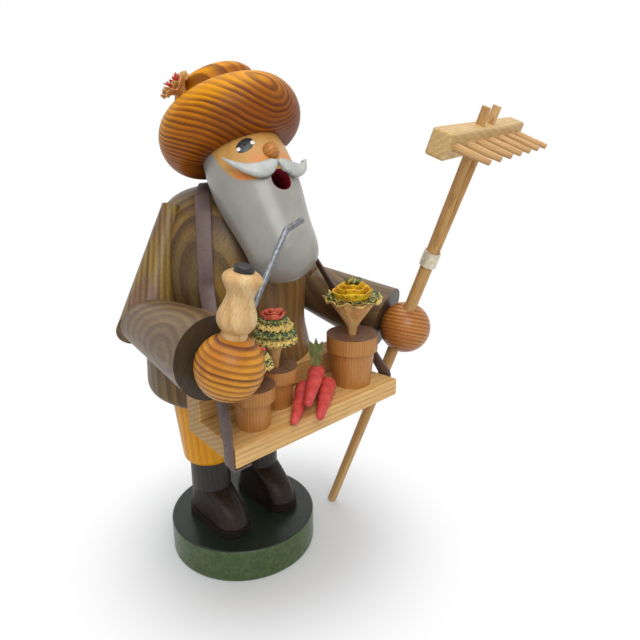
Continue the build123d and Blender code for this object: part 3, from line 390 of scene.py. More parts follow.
def head_paint():
    """Turned head: honey wood with rouged cheeks, glossy grey beard and a dark red mouth with painted shade
    deeper in.
    """
    paint = Paint("head_painted")
    place = paint.point()
    x, y, z = paint.local(HEAD)
    wobble = paint.noise(place, 1 / 5.0, detail=2.0)
    face = paint.step(paint.math("SUBTRACT", z, beard_edge(paint, x, y, wobble)), -0.25, 0.25)

    growth = rings(HEAD_PITH, HEAD_GRAIN)
    late = figured(paint, place, growth, spacing=3.2, grain=HEAD_GRAIN, waves=(3.0, 18.0))
    honey = paint.mix(paint.times(late, 0.5), srgb(204, 154, 82), srgb(184, 126, 60))
    low = paint.step(z, 2.0, -8.0)
    honey = paint.mix(paint.times(low, 0.6), honey, srgb(222, 158, 54))
    for side in (-1, 1):
        for (across, forward, up), size, weight in ROUGE:
            blush = paint.times(spot(paint, x, y, z, (side * across, forward, up), size), weight)
            honey = paint.mix(blush, honey, srgb(226, 112, 58))

    cloud = paint.noise(place, 1 / 14.0, detail=3.0)
    grey = paint.mix(paint.step(cloud, 0.35, 0.65), srgb(145, 143, 135), srgb(155, 153, 145))
    colour = paint.mix(face, grey, honey)

    bore = paint.reach(x, paint.plus(z, MOUTH_DROP))
    front = paint.step(y, 0.0, -1.0)
    mouth = paint.times(paint.step(bore, MOUTH_RADIUS + 0.28, MOUTH_RADIUS + 0.1), front)
    # Painted shade: the red inside the mouth's bore turns darker deeper in
    depth = paint.step(y, -17.0, -9.0)
    red = paint.mix(depth, srgb(132, 30, 36), srgb(70, 14, 18))
    paint.colour(paint.mix(mouth, colour, red))

    fibres = fine_fibres(paint, place, HEAD_GRAIN)
    gloss = paint.plus(paint.times(face, 0.55), paint.times(cloud, 0.4))
    paint.rough(gloss, 0.28, 0.52)
    paint.bump(paint.times(fibres, paint.plus(face, 0.25)), depth_mm=0.06, strength=0.25)
    paint.lacquer(0.14, 0.18)
    return paint


def base_paint():
    """Green stained disc, mottled on its side and almost black on its varnished top."""
    paint = Paint("base_green")
    place = paint.point()
    cloth = paint.noise(place, 1 / 2.6, detail=5.0, roughness=0.75)
    grain = paint.noise(stretched(paint, place, UP, 0.2), 0.9, detail=4.0, roughness=0.65)
    side = paint.mix(paint.step(cloth, 0.38, 0.64), srgb(58, 78, 42), srgb(78, 98, 56))
    side = paint.mix(paint.times(paint.step(grain, 0.5, 0.72), 0.5), side, srgb(48, 66, 36))
    top = paint.mix(paint.step(cloth, 0.35, 0.65), srgb(22, 32, 25), srgb(32, 43, 33))
    over = paint.step(paint.facing(UP), 0.35, 0.75)
    paint.colour(paint.mix(over, side, top))
    paint.rough(paint.plus(paint.times(grain, 0.6), 0.1), 0.22, 0.5)
    paint.bump(grain, depth_mm=0.08, strength=0.3)
    paint.lacquer(0.12, 0.2)
    paint.specular(0.3)
    return paint


# Heights between which the soles give way to the shoes, and the pots' sides to soil over the tray
SOLE_EDGE = (21.7, 21.2)
SOIL_EDGE = (TRAY_TOP + 16.4, TRAY_TOP + 16.8)


def shoe_paint():
    """Dark brown shoes with a blacker sole edge."""
    paint = Paint("shoe_brown")
    place = paint.point()
    grain = paint.noise(stretched(paint, place, (0, 1, 0), 0.15), 0.8, detail=4.0, roughness=0.65)
    upper = paint.mix(paint.step(grain, 0.38, 0.66), srgb(27, 20, 16), srgb(46, 35, 28))
    sole = paint.step(paint.along(UP), *SOLE_EDGE)
    paint.colour(paint.mix(sole, upper, paint.mix(grain, srgb(18, 14, 14), srgb(36, 28, 26))))
    paint.rough(grain, 0.36, 0.58)
    paint.bump(grain, depth_mm=0.1, strength=0.35)
    paint.lacquer(0.05, 0.25)
    paint.specular(0.2)
    return paint


def pot_paint():
    """Turned pots with fine upright pores and a brown stained top for soil."""
    paint = wood(
        "pot_wood", (190, 133, 70), (170, 113, 57), layers((0.8, -0.6, 0.0)), spacing=1.1,
        waves=(1.6, 16.0), fibre=0.3, tint=(180, 121, 59))
    crumbs = paint.noise(paint.point(), 1.4, detail=4.0, roughness=0.7)
    soil = paint.mix(paint.step(crumbs, 0.4, 0.62), srgb(108, 78, 60), srgb(132, 98, 76))
    high = paint.step(paint.along(UP), *SOIL_EDGE)
    flat = paint.step(paint.facing(UP), 0.8, 0.95)
    paint.colour(paint.mix(paint.times(flat, high), paint.painted(), soil))
    return paint


def plain_paint(name, first, second, scale, roughness, relief, metallic=0.0, lacquer=0.0, stretch=None):
    """Painted or metal surface with clouded colour and fine relief."""
    paint = Paint(name)
    place = paint.point()
    if stretch:
        place = stretched(paint, place, stretch, 0.12)
    cloud = paint.noise(place, scale, detail=4.0, roughness=0.65)
    paint.colour(paint.mix(paint.step(cloud, 0.36, 0.66), srgb(*first), srgb(*second)))
    paint.rough(cloud, *roughness)
    paint.bump(cloud, relief, strength=0.4)
    paint.shader.inputs["Metallic"].default_value = metallic
    paint.lacquer(lacquer, 0.2)
    return paint


def strap_paint():
    """Thin mauve-brown strap with a fine pressed grain."""
    paint = Paint("strap_mauve", 0.6)
    place = paint.point()
    fine = paint.noise(place, 2.6, detail=3.0, roughness=0.6)
    broad = paint.noise(place, 1 / 9.0, detail=2.0)
    colour = paint.mix(paint.step(fine, 0.35, 0.68), srgb(92, 74, 70), srgb(116, 97, 92))
    wear_and_painted_light = paint.times(paint.step(broad, 0.42, 0.62), 0.5)
    paint.colour(paint.mix(wear_and_painted_light, colour, srgb(86, 66, 62)))
    paint.rough(fine, 0.45, 0.7)
    paint.bump(fine, depth_mm=0.12, strength=0.6)
    return paint


def fleck_paint(name, ground, other, fleck, amount):
    """Dyed wood shaving in two clouded tones, with flecks of a third."""
    paint = Paint(name, 0.7)
    place = paint.point()
    tone = paint.noise(place, 1 / 2.2, detail=3.0, roughness=0.6)
    dots = paint.noise(place, 1 / 1.15, detail=2.0, roughness=0.5)
    colour = paint.mix(paint.step(tone, 0.4, 0.6), srgb(*ground), srgb(*other))
    paint.colour(paint.mix(paint.step(dots, 0.66 - amount, 0.70 - amount), colour, srgb(*fleck)))
    paint.rough(tone, 0.55, 0.8)
    paint.bump(paint.noise(place, 2.5, detail=3.0), depth_mm=0.1, strength=0.5)
    return paint


def coat_paint():
    """Turned coat: brown stain with broad rings, and painted light, paler and warmer, down its front."""
    growth = rings((-34.0, -46.0, 60.0), (-0.06, 0.16, 1.0))
    paint = wood(
        "coat_brown", (132, 102, 46), (80, 58, 34), growth, spacing=5.2, waves=(14.0, 30.0), fibre=0.7,
        roughness=(0.36, 0.54), lacquer=0.08, tint=(104, 84, 50), tint_size=20.0, broad=0.12)
    x, y, z = (paint.along(axis) for axis in ((1, 0, 0), (0, 1, 0), (0, 0, 1)))
    # Painted light: a paler, warmer patch down the coat's front, below the beard and above the tray
    wear_and_painted_light = spot(paint, x, y, z, centre=(8.0, -28.0, 122.0), size=42.0)
    paint.colour(paint.mix(paint.times(wear_and_painted_light, 0.9), paint.painted(), srgb(108, 76, 46), "ADD"))
    return paint


def forearm_paint(name, centre, grain):
    """Sleeve wood cut so that its layers show as nested arches, with an almost black cuff end."""
    paint = wood(
        name, (126, 101, 64), (94, 69, 50), arches(centre, grain, squeeze=0.55), spacing=3.3,
        grain=grain, waves=(5.0, 26.0), fibre=0.4, roughness=(0.34, 0.52), lacquer=0.12,
        tint=(112, 90, 60), tint_size=16.0, broad=0.15)
    drawn = stretched(paint, paint.point(), (0.5, 0.0, 0.86), 0.1)
    pores = paint.noise(drawn, 1.2, detail=4.0, roughness=0.7)
    end = paint.mix(pores, srgb(36, 29, 22), srgb(84, 69, 53))
    cuff = paint.step(paint.facing((0.1, -0.98, 0.0)), 0.86, 0.93)
    paint.colour(paint.mix(cuff, paint.painted(), end))
    return paint


def tray_paint():
    """Pale pine with painted shade on its end faces."""
    paint = wood(
        "tray_pine", (228, 188, 124), (204, 154, 90), layers((0.02, 0.5, 0.86)), spacing=1.9,
        grain=(1, 0, 0), waves=(1.6, 60.0), roughness=(0.38, 0.55), lacquer=0.1,
        tint=(214, 170, 106), tint_size=30.0)
    # Painted shade: the faces at both ends of the board and the rail are darker
    painted_shade_ends = paint.step(paint.math("ABSOLUTE", paint.facing((1.0, 0.0, 0.0))), 0.75, 0.95)
    paint.colour(paint.mix(painted_shade_ends, paint.painted(), srgb(208, 202, 178), "MULTIPLY"))
    return paint


def dress_figure():
    """Materials of the hat, the head, the coat, the arms and the hands."""
    dress(hat_paint(), "hat")
    dress(head_paint(), "head")
    right_hand = wood(
        "right_hand_pine", (216, 148, 42), (112, 58, 24), layers((0.2, -0.2, 0.95)), spacing=2.2,
        grain=(1.0, 0.3, 0.0), waves=(2.6, 26.0), fibre=0.3, roughness=(0.34, 0.5),
        lacquer=0.1, tint=(192, 122, 32), tint_size=12.0, broad=0.02)
    dress(right_hand, "right_hand")
    left_hand = wood(
        "left_hand_pine", (196, 132, 62), (142, 82, 36), layers((0.34, 0.1, 0.93)), spacing=1.7,
        grain=(1.0, 0.3, -0.4), waves=(1.6, 20.0), fibre=0.4, roughness=(0.28, 0.45),
        tint=(180, 114, 50), tint_size=12.0, broad=0.1)
    dress(left_hand, "left_hand")
    dress(coat_paint(), "torso")
    sleeve = wood(
        "sleeve_brown", (146, 118, 52), (92, 68, 40), layers((0.75, -0.66, 0.0)), spacing=2.4,
        waves=(4.0, 34.0), fibre=0.5, roughness=(0.34, 0.52), lacquer=0.12,
        tint=(130, 98, 74), tint_size=11.0, broad=0.1)
    dress(sleeve, "right_upper_arm", "left_upper_arm")
    dress(forearm_paint("right_forearm_brown", (-60.0, -42.0, 130.5), (-0.09, -0.99, 0.02)), "right_forearm")
    dress(forearm_paint("left_forearm_brown", (66.0, -34.0, 128.0), (0.32, -0.92, -0.22)), "left_forearm")


def dress_tools():
    """Materials of the tray, the rake, the pots and the pipe's bowl."""
    dress(tray_paint(), "tray_board", "tray_rail")
    dry = {"fibre": 0.4, "roughness": (0.4, 0.58), "lacquer": 0.05}
    rake = wood(
        "rake_pine", (214, 178, 122), (192, 146, 88), layers((0.9, 0.4, 0.1)), spacing=1.3,
        grain=(0.044, -0.338, 0.94), waves=(1.0, 40.0), tint=(204, 160, 100), tint_size=30.0, **dry)
    dress(rake, "rake_handle")
    bar = wood(
        "rake_head_pine", (212, 180, 124), (199, 162, 106), layers((0.1, 0.5, 0.86)), spacing=1.9,
        grain=(0.977, 0.212, 0.03), waves=(0.8, 40.0), tint=(205, 170, 114), tint_size=24.0, **dry)
    dress(bar, "rake_head")
    tines = wood(
        "tine_wood", (212, 170, 116), (190, 142, 88), layers((1.0, 0.2, 0.1)), spacing=0.9,
        grain=(0.209, -0.917, -0.34), waves=(0.6, 20.0), **dry)
    dress(tines, "rake_tines")
    dress(pot_paint(), "front_pot", "back_pot", "large_pot")
    pipe = wood(
        "pipe_maple", (224, 192, 140), (202, 158, 102), layers((0.5, -0.8, 0.1)), spacing=4.2,
        grain=(0.15, -0.1, 1.0), waves=(4.0, 18.0), fibre=0.45, roughness=(0.36, 0.52),
        lacquer=0.12, tint=(214, 174, 118), tint_size=9.0)
    dress(pipe, "pipe_bowl")


def dress_stand():
    """Materials of the trousers, the legs, the shoes and the base."""
    trousers = wood(
        "trouser_gold", (234, 166, 14), (214, 138, 10), layers((0.7, -0.7, 0.0)), spacing=3.4,
        waves=(4.0, 26.0), fibre=0.3, roughness=(0.32, 0.48), lacquer=0.1, tint=(226, 152, 10))
    dress(trousers, "trousers")
    legs = wood(
        "leg_grey", (62, 57, 52), (46, 42, 39), layers((0.7, -0.7, 0.0)), spacing=2.4,
        waves=(3.0, 20.0), fibre=0.5, roughness=(0.34, 0.52), lacquer=0.1,
        tint=(54, 49, 45), tint_size=12.0)
    dress(legs, "right_leg", "left_leg")
    dress(shoe_paint(), "right_shoe", "left_shoe")
    dress(base_paint(), "base_disc")


NOSE_GRAIN = (0.2, 1.0, -0.4)
# Painted and metal pieces: material, two tones, scale of the clouds, roughness, relief, metal and node
SMALL_PAINTS = (
    ("lid_black", (22, 22, 21), (40, 39, 37), 0.7, (0.35, 0.55), 0.1, 0.0, "pipe_lid"),
    ("stem_aluminium", (106, 109, 113), (140, 144, 148), 0.8, (0.34, 0.5), 0.05, 0.75, "pipe_stem"),
    ("ferrule_cream", (206, 196, 168), (234, 226, 204), 0.6, (0.3, 0.45), 0.1, 0.2, "rake_ferrule"),
    ("dish_brass", (176, 142, 76), (206, 176, 108), 0.5, (0.3, 0.5), 0.08, 0.9, "incense_dish"),
    ("nail_steel", (130, 130, 130), (166, 166, 166), 0.8, (0.3, 0.5), 0.05, 0.9, "dish_nail"),
)


def dress_small_pieces():
    """Materials of the nose, the hidden woods, the carrots and the painted and metal pieces."""
    nose = wood(
        "nose_wood", (188, 132, 64), (170, 108, 46), rings((-2.0, -40.0, 187.0), NOSE_GRAIN),
        spacing=1.5, grain=NOSE_GRAIN, waves=(1.0, 8.0), fibre=0.3, roughness=(0.26, 0.4),
        tint=(200, 124, 54), tint_size=5.0)
    dress(nose, "nose")
    bare = wood("bare_wood", (210, 172, 122), (186, 142, 92), layers((0.7, 0.7, 0.0)), spacing=2.4)
    hidden = [name for name in nodes if name.endswith(("_peg", "_pegs"))]
    dress(bare, "chamber_plug", *hidden)
    carrot = plain_paint(
        "carrot_red", (186, 56, 52), (212, 82, 75), scale=0.28, roughness=(0.5, 0.68), relief=0.25,
        stretch=(0.1, 0.1, 1.0))
    dress(carrot, "left_carrot", "right_carrot", "top_carrot")
    leaf = plain_paint(
        "leaf_green", (84, 98, 50), (134, 134, 78), scale=0.5, roughness=(0.5, 0.7), relief=0.15,
        stretch=(0.3, 0.3, 1.0))
    dress(leaf, "carrot_leaf")
    for name, first, second, scale, roughness, relief, metallic, node in SMALL_PAINTS:
        dress(plain_paint(name, first, second, scale, roughness, relief, metallic), node)


def make_piece(name, points, faces, paint, stands_for=None, body="figure"):
    """Closed or thin mesh in millimetres that moves with a body."""
    mesh = bpy.data.meshes.new(name)
    mesh.from_pydata([Vector(point) * MM for point in points], [], faces)
    work = bmesh.new()
    work.from_mesh(mesh)
    bmesh.ops.recalc_face_normals(work, faces=work.faces)
    work.to_mesh(mesh)
    work.free()
    mesh.materials.append(paint.material)
    mesh.shade_smooth()
    piece = bpy.data.objects.new(name, mesh)
    bpy.context.collection.objects.link(piece)
    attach(piece, body)
    if stands_for:
        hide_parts(stands_for)
    return piece


def sheet_faces(rows, columns, closed, start=0):
    """Faces of a sheet made of rows of points, closed round or open."""
    faces = []
    for row in range(rows - 1):
        low = start + row * columns
        high = low + columns
        for column in range(columns if closed else columns - 1):
            after = (column + 1) % columns
            faces.append((low + column, low + after, high + after, high + column))
    return faces


def tube_faces(rows, columns, start=0):
    """Faces of a tube made of closed rows of points, with both of its ends filled."""
    end = start + (rows - 1) * columns
    faces = sheet_faces(rows, columns, True, start)
    faces.append(tuple(start + column for column in reversed(range(columns))))
    faces.append(tuple(end + column for column in range(columns)))
    return faces


def circle(count):
    """Angles of even steps round a circle."""
    return [math.tau * step / count for step in range(count)]


def surface_of(node):
    """Search tree of a node's surface, in millimetres."""
    mesh = nodes[node].data
    points = [vertex.co / MM for vertex in mesh.vertices]
    return BVHTree.FromPolygons(points, [tuple(face.vertices) for face in mesh.polygons])


# Distance from the head's axis, well outside the head, where the rays that look for its surface start
RAY_START = 60.0


def head_radius(tree, turn, height):
    """Distance from the head's axis to its surface at an angle and a height."""
    way = Vector((math.sin(turn), -math.cos(turn), 0.0))
    start = HEAD @ (way * RAY_START + Vector((0, 0, height)))
    hit = tree.ray_cast(start, -(HEAD.to_3x3() @ way))[0]
    return (HEAD.inverted() @ hit).xy.length if hit else HEAD_RADIUS


def on_head(turn, height, radius):
    """Point at an angle, a height and a distance from the head's axis."""
    return HEAD @ Vector((radius * math.sin(turn), -radius * math.cos(turn), height))


def bezier(points, share):
    """Point on a Bezier curve given by its control points."""
    line = [Vector(point) for point in points]
    while len(line) > 1:
        line = [a.lerp(b, share) for a, b in zip(line, line[1:])]
    return line[0]


# Half of the moustache as (angle on the head in degrees, height in mm)
MOUSTACHE_UPPER = ((0.6, -4.2), (16.0, -3.2), (34.0, -8.5), (56.0, 2.0))
MOUSTACHE_LOWER = ((0.6, -6.6), (10.0, -11.4), (36.0, -15.4), (57.0, 1.3))
# Outline of its section as shares of its half width and of its thickness
MOUSTACHE_SECTION = (
    (-0.86, 0.0), (-1.0, 0.25), (-1.0, 0.75), (-0.84, 1.0), (0.0, 1.06),
    (0.84, 1.0), (1.0, 0.75), (1.0, 0.25), (0.86, 0.0), (0.0, 0.0),
)
MOUSTACHE_ROWS = 36
MOUSTACHE_THICKNESS = 2.1
MOUSTACHE_STANDOFF = 3.4
MOUSTACHE_SINK = 0.15
CHEEK_RADIUS = HEAD_RADIUS - 0.4
BLUNT_SHARE = 0.16
BLUNT_LEAST = 0.25
FAR_TIP_DROP = 4.4
FAR_REACH = 0.9


def make_moustache(tree, paint, name, side, drop):
    """Crescent cut from a thin board: blunt beside the nose, standing off the cheek at its curled tip."""
    points = []
    for row in range(MOUSTACHE_ROWS):
        share = row / (MOUSTACHE_ROWS - 1)
        upper = bezier(MOUSTACHE_UPPER, share)
        lower = bezier(MOUSTACHE_LOWER, share)
        blunt = math.sqrt(max(0.0, 1 - (1 - min(1.0, share / BLUNT_SHARE)) ** 2))
        middle = (upper + lower) / 2
        half = (upper - lower) / 2 * max(blunt, BLUNT_LEAST)
        for across, out in MOUSTACHE_SECTION:
            turn, height = middle + half * across
            turn = math.radians(turn) * side * (1.0 if side < 0 else FAR_REACH)
            height -= drop * share**2
            base = max(head_radius(tree, turn, height), CHEEK_RADIUS) - MOUSTACHE_SINK
            lift = MOUSTACHE_STANDOFF * share**2 + MOUSTACHE_THICKNESS * out
            points.append(on_head(turn, height, base + lift))
    faces = tube_faces(MOUSTACHE_ROWS, len(MOUSTACHE_SECTION))
    make_piece(name + "_carved", points, faces, paint, name)


# Dab of paint: rings and columns of its mesh, height of its edge and depth of its root in mm
DOT_RINGS = 5
DOT_COLUMNS = 36
DOT_EDGE = 0.03
DOT_ROOT = -0.1


def make_paint_dot(tree, paint, name, centre, size, lean=0.0, lift=0.1):
    """Thin domed dab of paint that follows the head: centre as (degrees, mm), size in mm along and up."""
    shares = [ring / DOT_RINGS for ring in range(DOT_RINGS + 1)]
    rows = [(share, DOT_EDGE, lift * (1 - share**3)) for share in shares]
    rows.append((1.0, DOT_ROOT, 0.0))
    points = []
    for share, gap, rise in rows:
        for angle in circle(DOT_COLUMNS):
            up = size[1] * share * math.sin(angle)
            along = size[0] * share * math.cos(angle) + lean * up
            turn = math.radians(centre[0]) + along / HEAD_RADIUS
            height = centre[1] + up
            points.append(on_head(turn, height, head_radius(tree, turn, height) + gap + rise))
    make_piece(name, points, tube_faces(len(rows), DOT_COLUMNS), paint)


# Eyes: angles on the head, height, half sizes and lean, and glints as (degrees, mm up, half size)
EYE_TURNS = (-29.2, 55.0)
EYE_HEIGHT = 4.9
EYE_SIZE = (3.75, 2.85)
EYE_LEAN = 0.4
GLINTS = ((-9.6, -0.7, 0.95), (10.4, 0.2, 0.95))
GLINT_LIFT = 0.22


def make_face(tree):
    """Moustache halves and painted eyes."""
    grey = plain_paint(
        "moustache_grey", (170, 173, 168), (185, 188, 182), scale=0.25, roughness=(0.3, 0.45),
        relief=0.08, lacquer=0.2)
    make_moustache(tree, grey, "right_moustache", -1, 0.0)
    make_moustache(tree, grey, "left_moustache", 1, FAR_TIP_DROP)
    black = plain_paint(
        "eye_black", (34, 38, 42), (56, 61, 66), scale=0.8, roughness=(0.25, 0.4),
        relief=0.03, lacquer=0.3)
    white = plain_paint(
        "eye_white", (240, 240, 232), (250, 250, 246), scale=0.8, roughness=(0.3, 0.4), relief=0.03)
    for name, turn, inward in (("right", EYE_TURNS[0], 1), ("left", EYE_TURNS[1], -1)):
        middle = (turn, EYE_HEIGHT)
        make_paint_dot(tree, black, name + "_eye", middle, EYE_SIZE, EYE_LEAN * inward)
        for number, (along, height, size) in enumerate(GLINTS):
            centre = (turn + along * inward, EYE_HEIGHT + height)
            glint = f"{name}_glint_{number}"
            make_paint_dot(tree, white, glint, centre, (size, size), lift=GLINT_LIFT)


# Sizes of the straps and their places on the coat and at the tray's ends
STRAP_WIDTH = 6.4
STRAP_THICKNESS = 0.9
STRAP_BEVEL = 0.22
STRAP_SWELL = 1.15
STRAP_LIFT = 0.55
STRAP_SPAN_STEPS = 8
NECK_RUN = ((0.2, 13.6, 180.0), (4.4, 10.6, 180.2), (7.2, 6.8, 180.0), (10.3, 3.2, 179.4))
RIGHT_COAT_RUN = (
    (-13.0, 0.0, 178.4), (-15.4, -2.8, 177.2), (-19.7, -9.3, 172.2), (-22.0, -12.7, 166.8),
    (-23.8, -15.1, 161.3), (-25.2, -17.0, 155.5), (-26.2, -18.5, 149.5), (-26.8, -19.5, 142.0),
)
LEFT_COAT_RUN = ((16.0, 0.5, 178.3), (20.2, -3.2, 175.4), (23.2, -6.8, 171.8), (24.9, -10.4, 167.1))
RIGHT_END = (-46.2, -56.6, 94.4)
LEFT_END = (46.2, -52.9, 94.4)
# Shares of the free run between coat and tray, and the turned-in end as (drop, way in)
FREE_SHARES = (0.35, 0.7, 0.94)
WRAP = ((2.0, 0.0), (7.4, 0.0), (9.2, 0.5), (9.6, 8.0))


def strap_stations(tree, side):
    """Places down one strap from the nape over the coat to the turned-in end under the tray."""
    flip = Vector((side, 1, 1))
    places = [Vector(place) * flip for place in NECK_RUN]
    places += [Vector(place) for place in (RIGHT_COAT_RUN if side < 0 else LEFT_COAT_RUN)]
    stations = []
    for place in places:
        spot_on_coat, outward = tree.find_nearest(place)[:2]
        stations.append((spot_on_coat + outward * STRAP_LIFT, outward))
    top = Vector(RIGHT_END if side < 0 else LEFT_END)
    above, leaving = stations[-1]
    for share in FREE_SHARES:
        facing = leaving.lerp(Vector((side, 0.1, 0.25)), share)
        stations.append((above.lerp(top, share), facing))
    stations.append((top, Vector((side, 0.1, 0.0))))
    deepest = max(inward for _, inward in WRAP)
    for drop, inward in WRAP:
        share = inward / deepest
        facing = Vector((side * (1 - share), 0.1, -1.4 * share - 0.4 * (inward > 0)))
        stations.append((top + Vector((-side * inward, 0, -drop)), facing))
    return stations


def spline_through(values, per_span):
    """Points on a smooth line through a list of vectors."""
    out = []
    last = len(values) - 1
    for index in range(last):
        before = values[max(index - 1, 0)]
        here = values[index]
        there = values[index + 1]
        after = values[min(index + 2, last)]
        start = (there - before) / 2
        end = (after - here) / 2
        reach = (there - here).length
        start = start.normalized() * min(start.length, reach)
        end = end.normalized() * min(end.length, reach)
        for step in range(per_span):
            t = step / per_span
            point = (2 * t**3 - 3 * t**2 + 1) * here + (t**3 - 2 * t**2 + t) * start
            out.append(point + (3 * t**2 - 2 * t**3) * there + (t**3 - t**2) * end)
    return out + [values[last].copy()]


def make_strap(tree, name, side, paint):
    """Flat strap over the shoulder, down to the end of the tray and turned in beneath it."""
    stations = strap_stations(tree, side)
    middles = spline_through([place for place, _ in stations], STRAP_SPAN_STEPS)
    outs = spline_through([out.normalized() for _, out in stations], STRAP_SPAN_STEPS)
    half = STRAP_WIDTH / 2
    thick = STRAP_THICKNESS / 2
    flat_half = half - STRAP_BEVEL
    flat_thick = thick - STRAP_BEVEL
    section = (
        (-half, -flat_thick), (-half, flat_thick),
        (-flat_half, thick), (0, thick * STRAP_SWELL), (flat_half, thick),
        (half, flat_thick), (half, -flat_thick),
        (flat_half, -thick), (0, -thick), (-flat_half, -thick),
    )
    points = []
    last = len(middles) - 1
    for index, (middle, out) in enumerate(zip(middles, outs)):
        way = (middles[min(index + 1, last)] - middles[max(index - 1, 0)]).normalized()
        outward = (out - way * out.dot(way)).normalized()
        across = outward.cross(way)
        points += [middle + across * u + outward * v for u, v in section]
    make_piece(name + "_band", points, tube_faces(len(middles), len(section)), paint, name)


def make_straps():
    """Both straps, laid on the coat."""
    paint = strap_paint()
    tree = surface_of("torso")
    make_strap(tree, "right_strap", -1, paint)
    make_strap(tree, "left_strap", 1, paint)


def around(radius, angle, height):
    """Point at a distance, an angle and a height around the z axis."""
    return Vector((radius * math.cos(angle), radius * math.sin(angle), height))


def thicken(piece, thickness):
    """Give a sheet of shaving its thickness."""
    solid = piece.modifiers.new("thickness", "SOLIDIFY")
    solid.thickness = thickness * MM
    solid.offset = 0.0


FRILL_ROWS = 9
FRILL_COLUMNS = 240
FRILL_THICKNESS = 0.28


def make_frill(name, place, inner, outer, base, rise, droop, waves, depth, paint, seed):
    """Ring of shaving that flares out, ruffles and droops at its edge."""
    draw = random.Random(seed)
    phases = [draw.uniform(0, math.tau) for _ in range(3)]
    points = []
    for row in range(FRILL_ROWS):
        share = row / (FRILL_ROWS - 1)
        amount = depth * share**1.3
        for angle in circle(FRILL_COLUMNS):
            beat = angle + 0.25 * math.sin(2 * angle + phases[0]) / waves * 3
            wave = math.sin(waves * beat + phases[1])
            sway = math.cos(waves * beat + phases[1])
            small = math.sin(2.3 * waves * beat + phases[2])
            radius = inner + (outer - inner) * share**0.85 + amount * (0.55 * sway + 0.3 * small)
            height = base + rise * share - droop * share**2 + amount * (wave + 0.35 * small)
            points.append(place @ around(radius, angle, height))
    faces = sheet_faces(FRILL_ROWS, FRILL_COLUMNS, True)
    thicken(make_piece(name, points, faces, paint), FRILL_THICKNESS)


ROSETTE_ROWS = 6
ROSETTE_COLUMNS_PER_TURN = 90
ROSETTE_CORE = 0.7
ROSETTE_THICKNESS = 0.3


def make_rosette(name, place, radius, base, top, turns, band, paint, seed):
    """Spiral of upright shaving that climbs to the middle of the flower."""
    draw = random.Random(seed)
    phase = draw.uniform(0, math.tau)
    columns = int(ROSETTE_COLUMNS_PER_TURN * turns)
    points = []
    for row in range(ROSETTE_ROWS):
        share = row / (ROSETTE_ROWS - 1)
        for column in range(columns):
            run = column / (columns - 1)
            angle = math.tau * turns * run + phase
            reach = radius * (1 - run) ** 0.85 + ROSETTE_CORE
            curl = 0.35 * math.sin(7 * angle + phase) * share + 0.18 * math.sin(17 * angle) * share
            flare = reach + band * 0.32 * share**1.5 + curl
            climb = base + (top - base) * run**0.8 + band * (share - 0.5)
            height = climb + 0.3 * math.sin(5 * angle + phase) * share
            points.append(place @ around(flare, angle, height))
    faces = sheet_faces(ROSETTE_ROWS, columns, False)
    thicken(make_piece(name, points, faces, paint), ROSETTE_THICKNESS)


STALK_DEPTH = 1.8
CONE_WALL = 0.5
CONE_COLUMNS = 96
CONE_RUFFLE = 0.045
CONE_WAVES = 11


def make_flower(node, place, stalk, rim, cone, paint):
    """Hollow shaved cone with a wavy rim that carries the frills, standing for the solid flower."""
    outside = [
        (stalk, -STALK_DEPTH), (stalk, 0.0), (stalk * 1.15, cone * 0.2), (rim * 0.5, cone * 0.5),
        (rim * 0.78, cone * 0.78), (rim, cone),
    ]
    inside = [(radius - CONE_WALL, up + CONE_WALL * 0.3) for radius, up in reversed(outside[2:])]
    profile = outside + inside + [(0.25, cone * 0.22)]
    top = max(height for _, height in profile)
    points = []
    for radius, height in profile:
        for angle in circle(CONE_COLUMNS):
            swell = 1 + CONE_RUFFLE * max(0.0, height / top) ** 2 * math.sin(CONE_WAVES * angle)
            points.append(place @ around(radius * swell, angle, height))
    faces = tube_faces(len(profile), CONE_COLUMNS)
    make_piece(node + "_cone", points, faces, paint, node)


# Place and way of the flower in the hat's crown
HAT_FLOWER_RISE = 13.2
HAT_FLOWER_TURN = math.radians(5.0)
HAT_FLOWER_WAY = (-0.62, 0.25, 0.74)
FRONT_FLOWER_LEAN = math.radians(3.0)


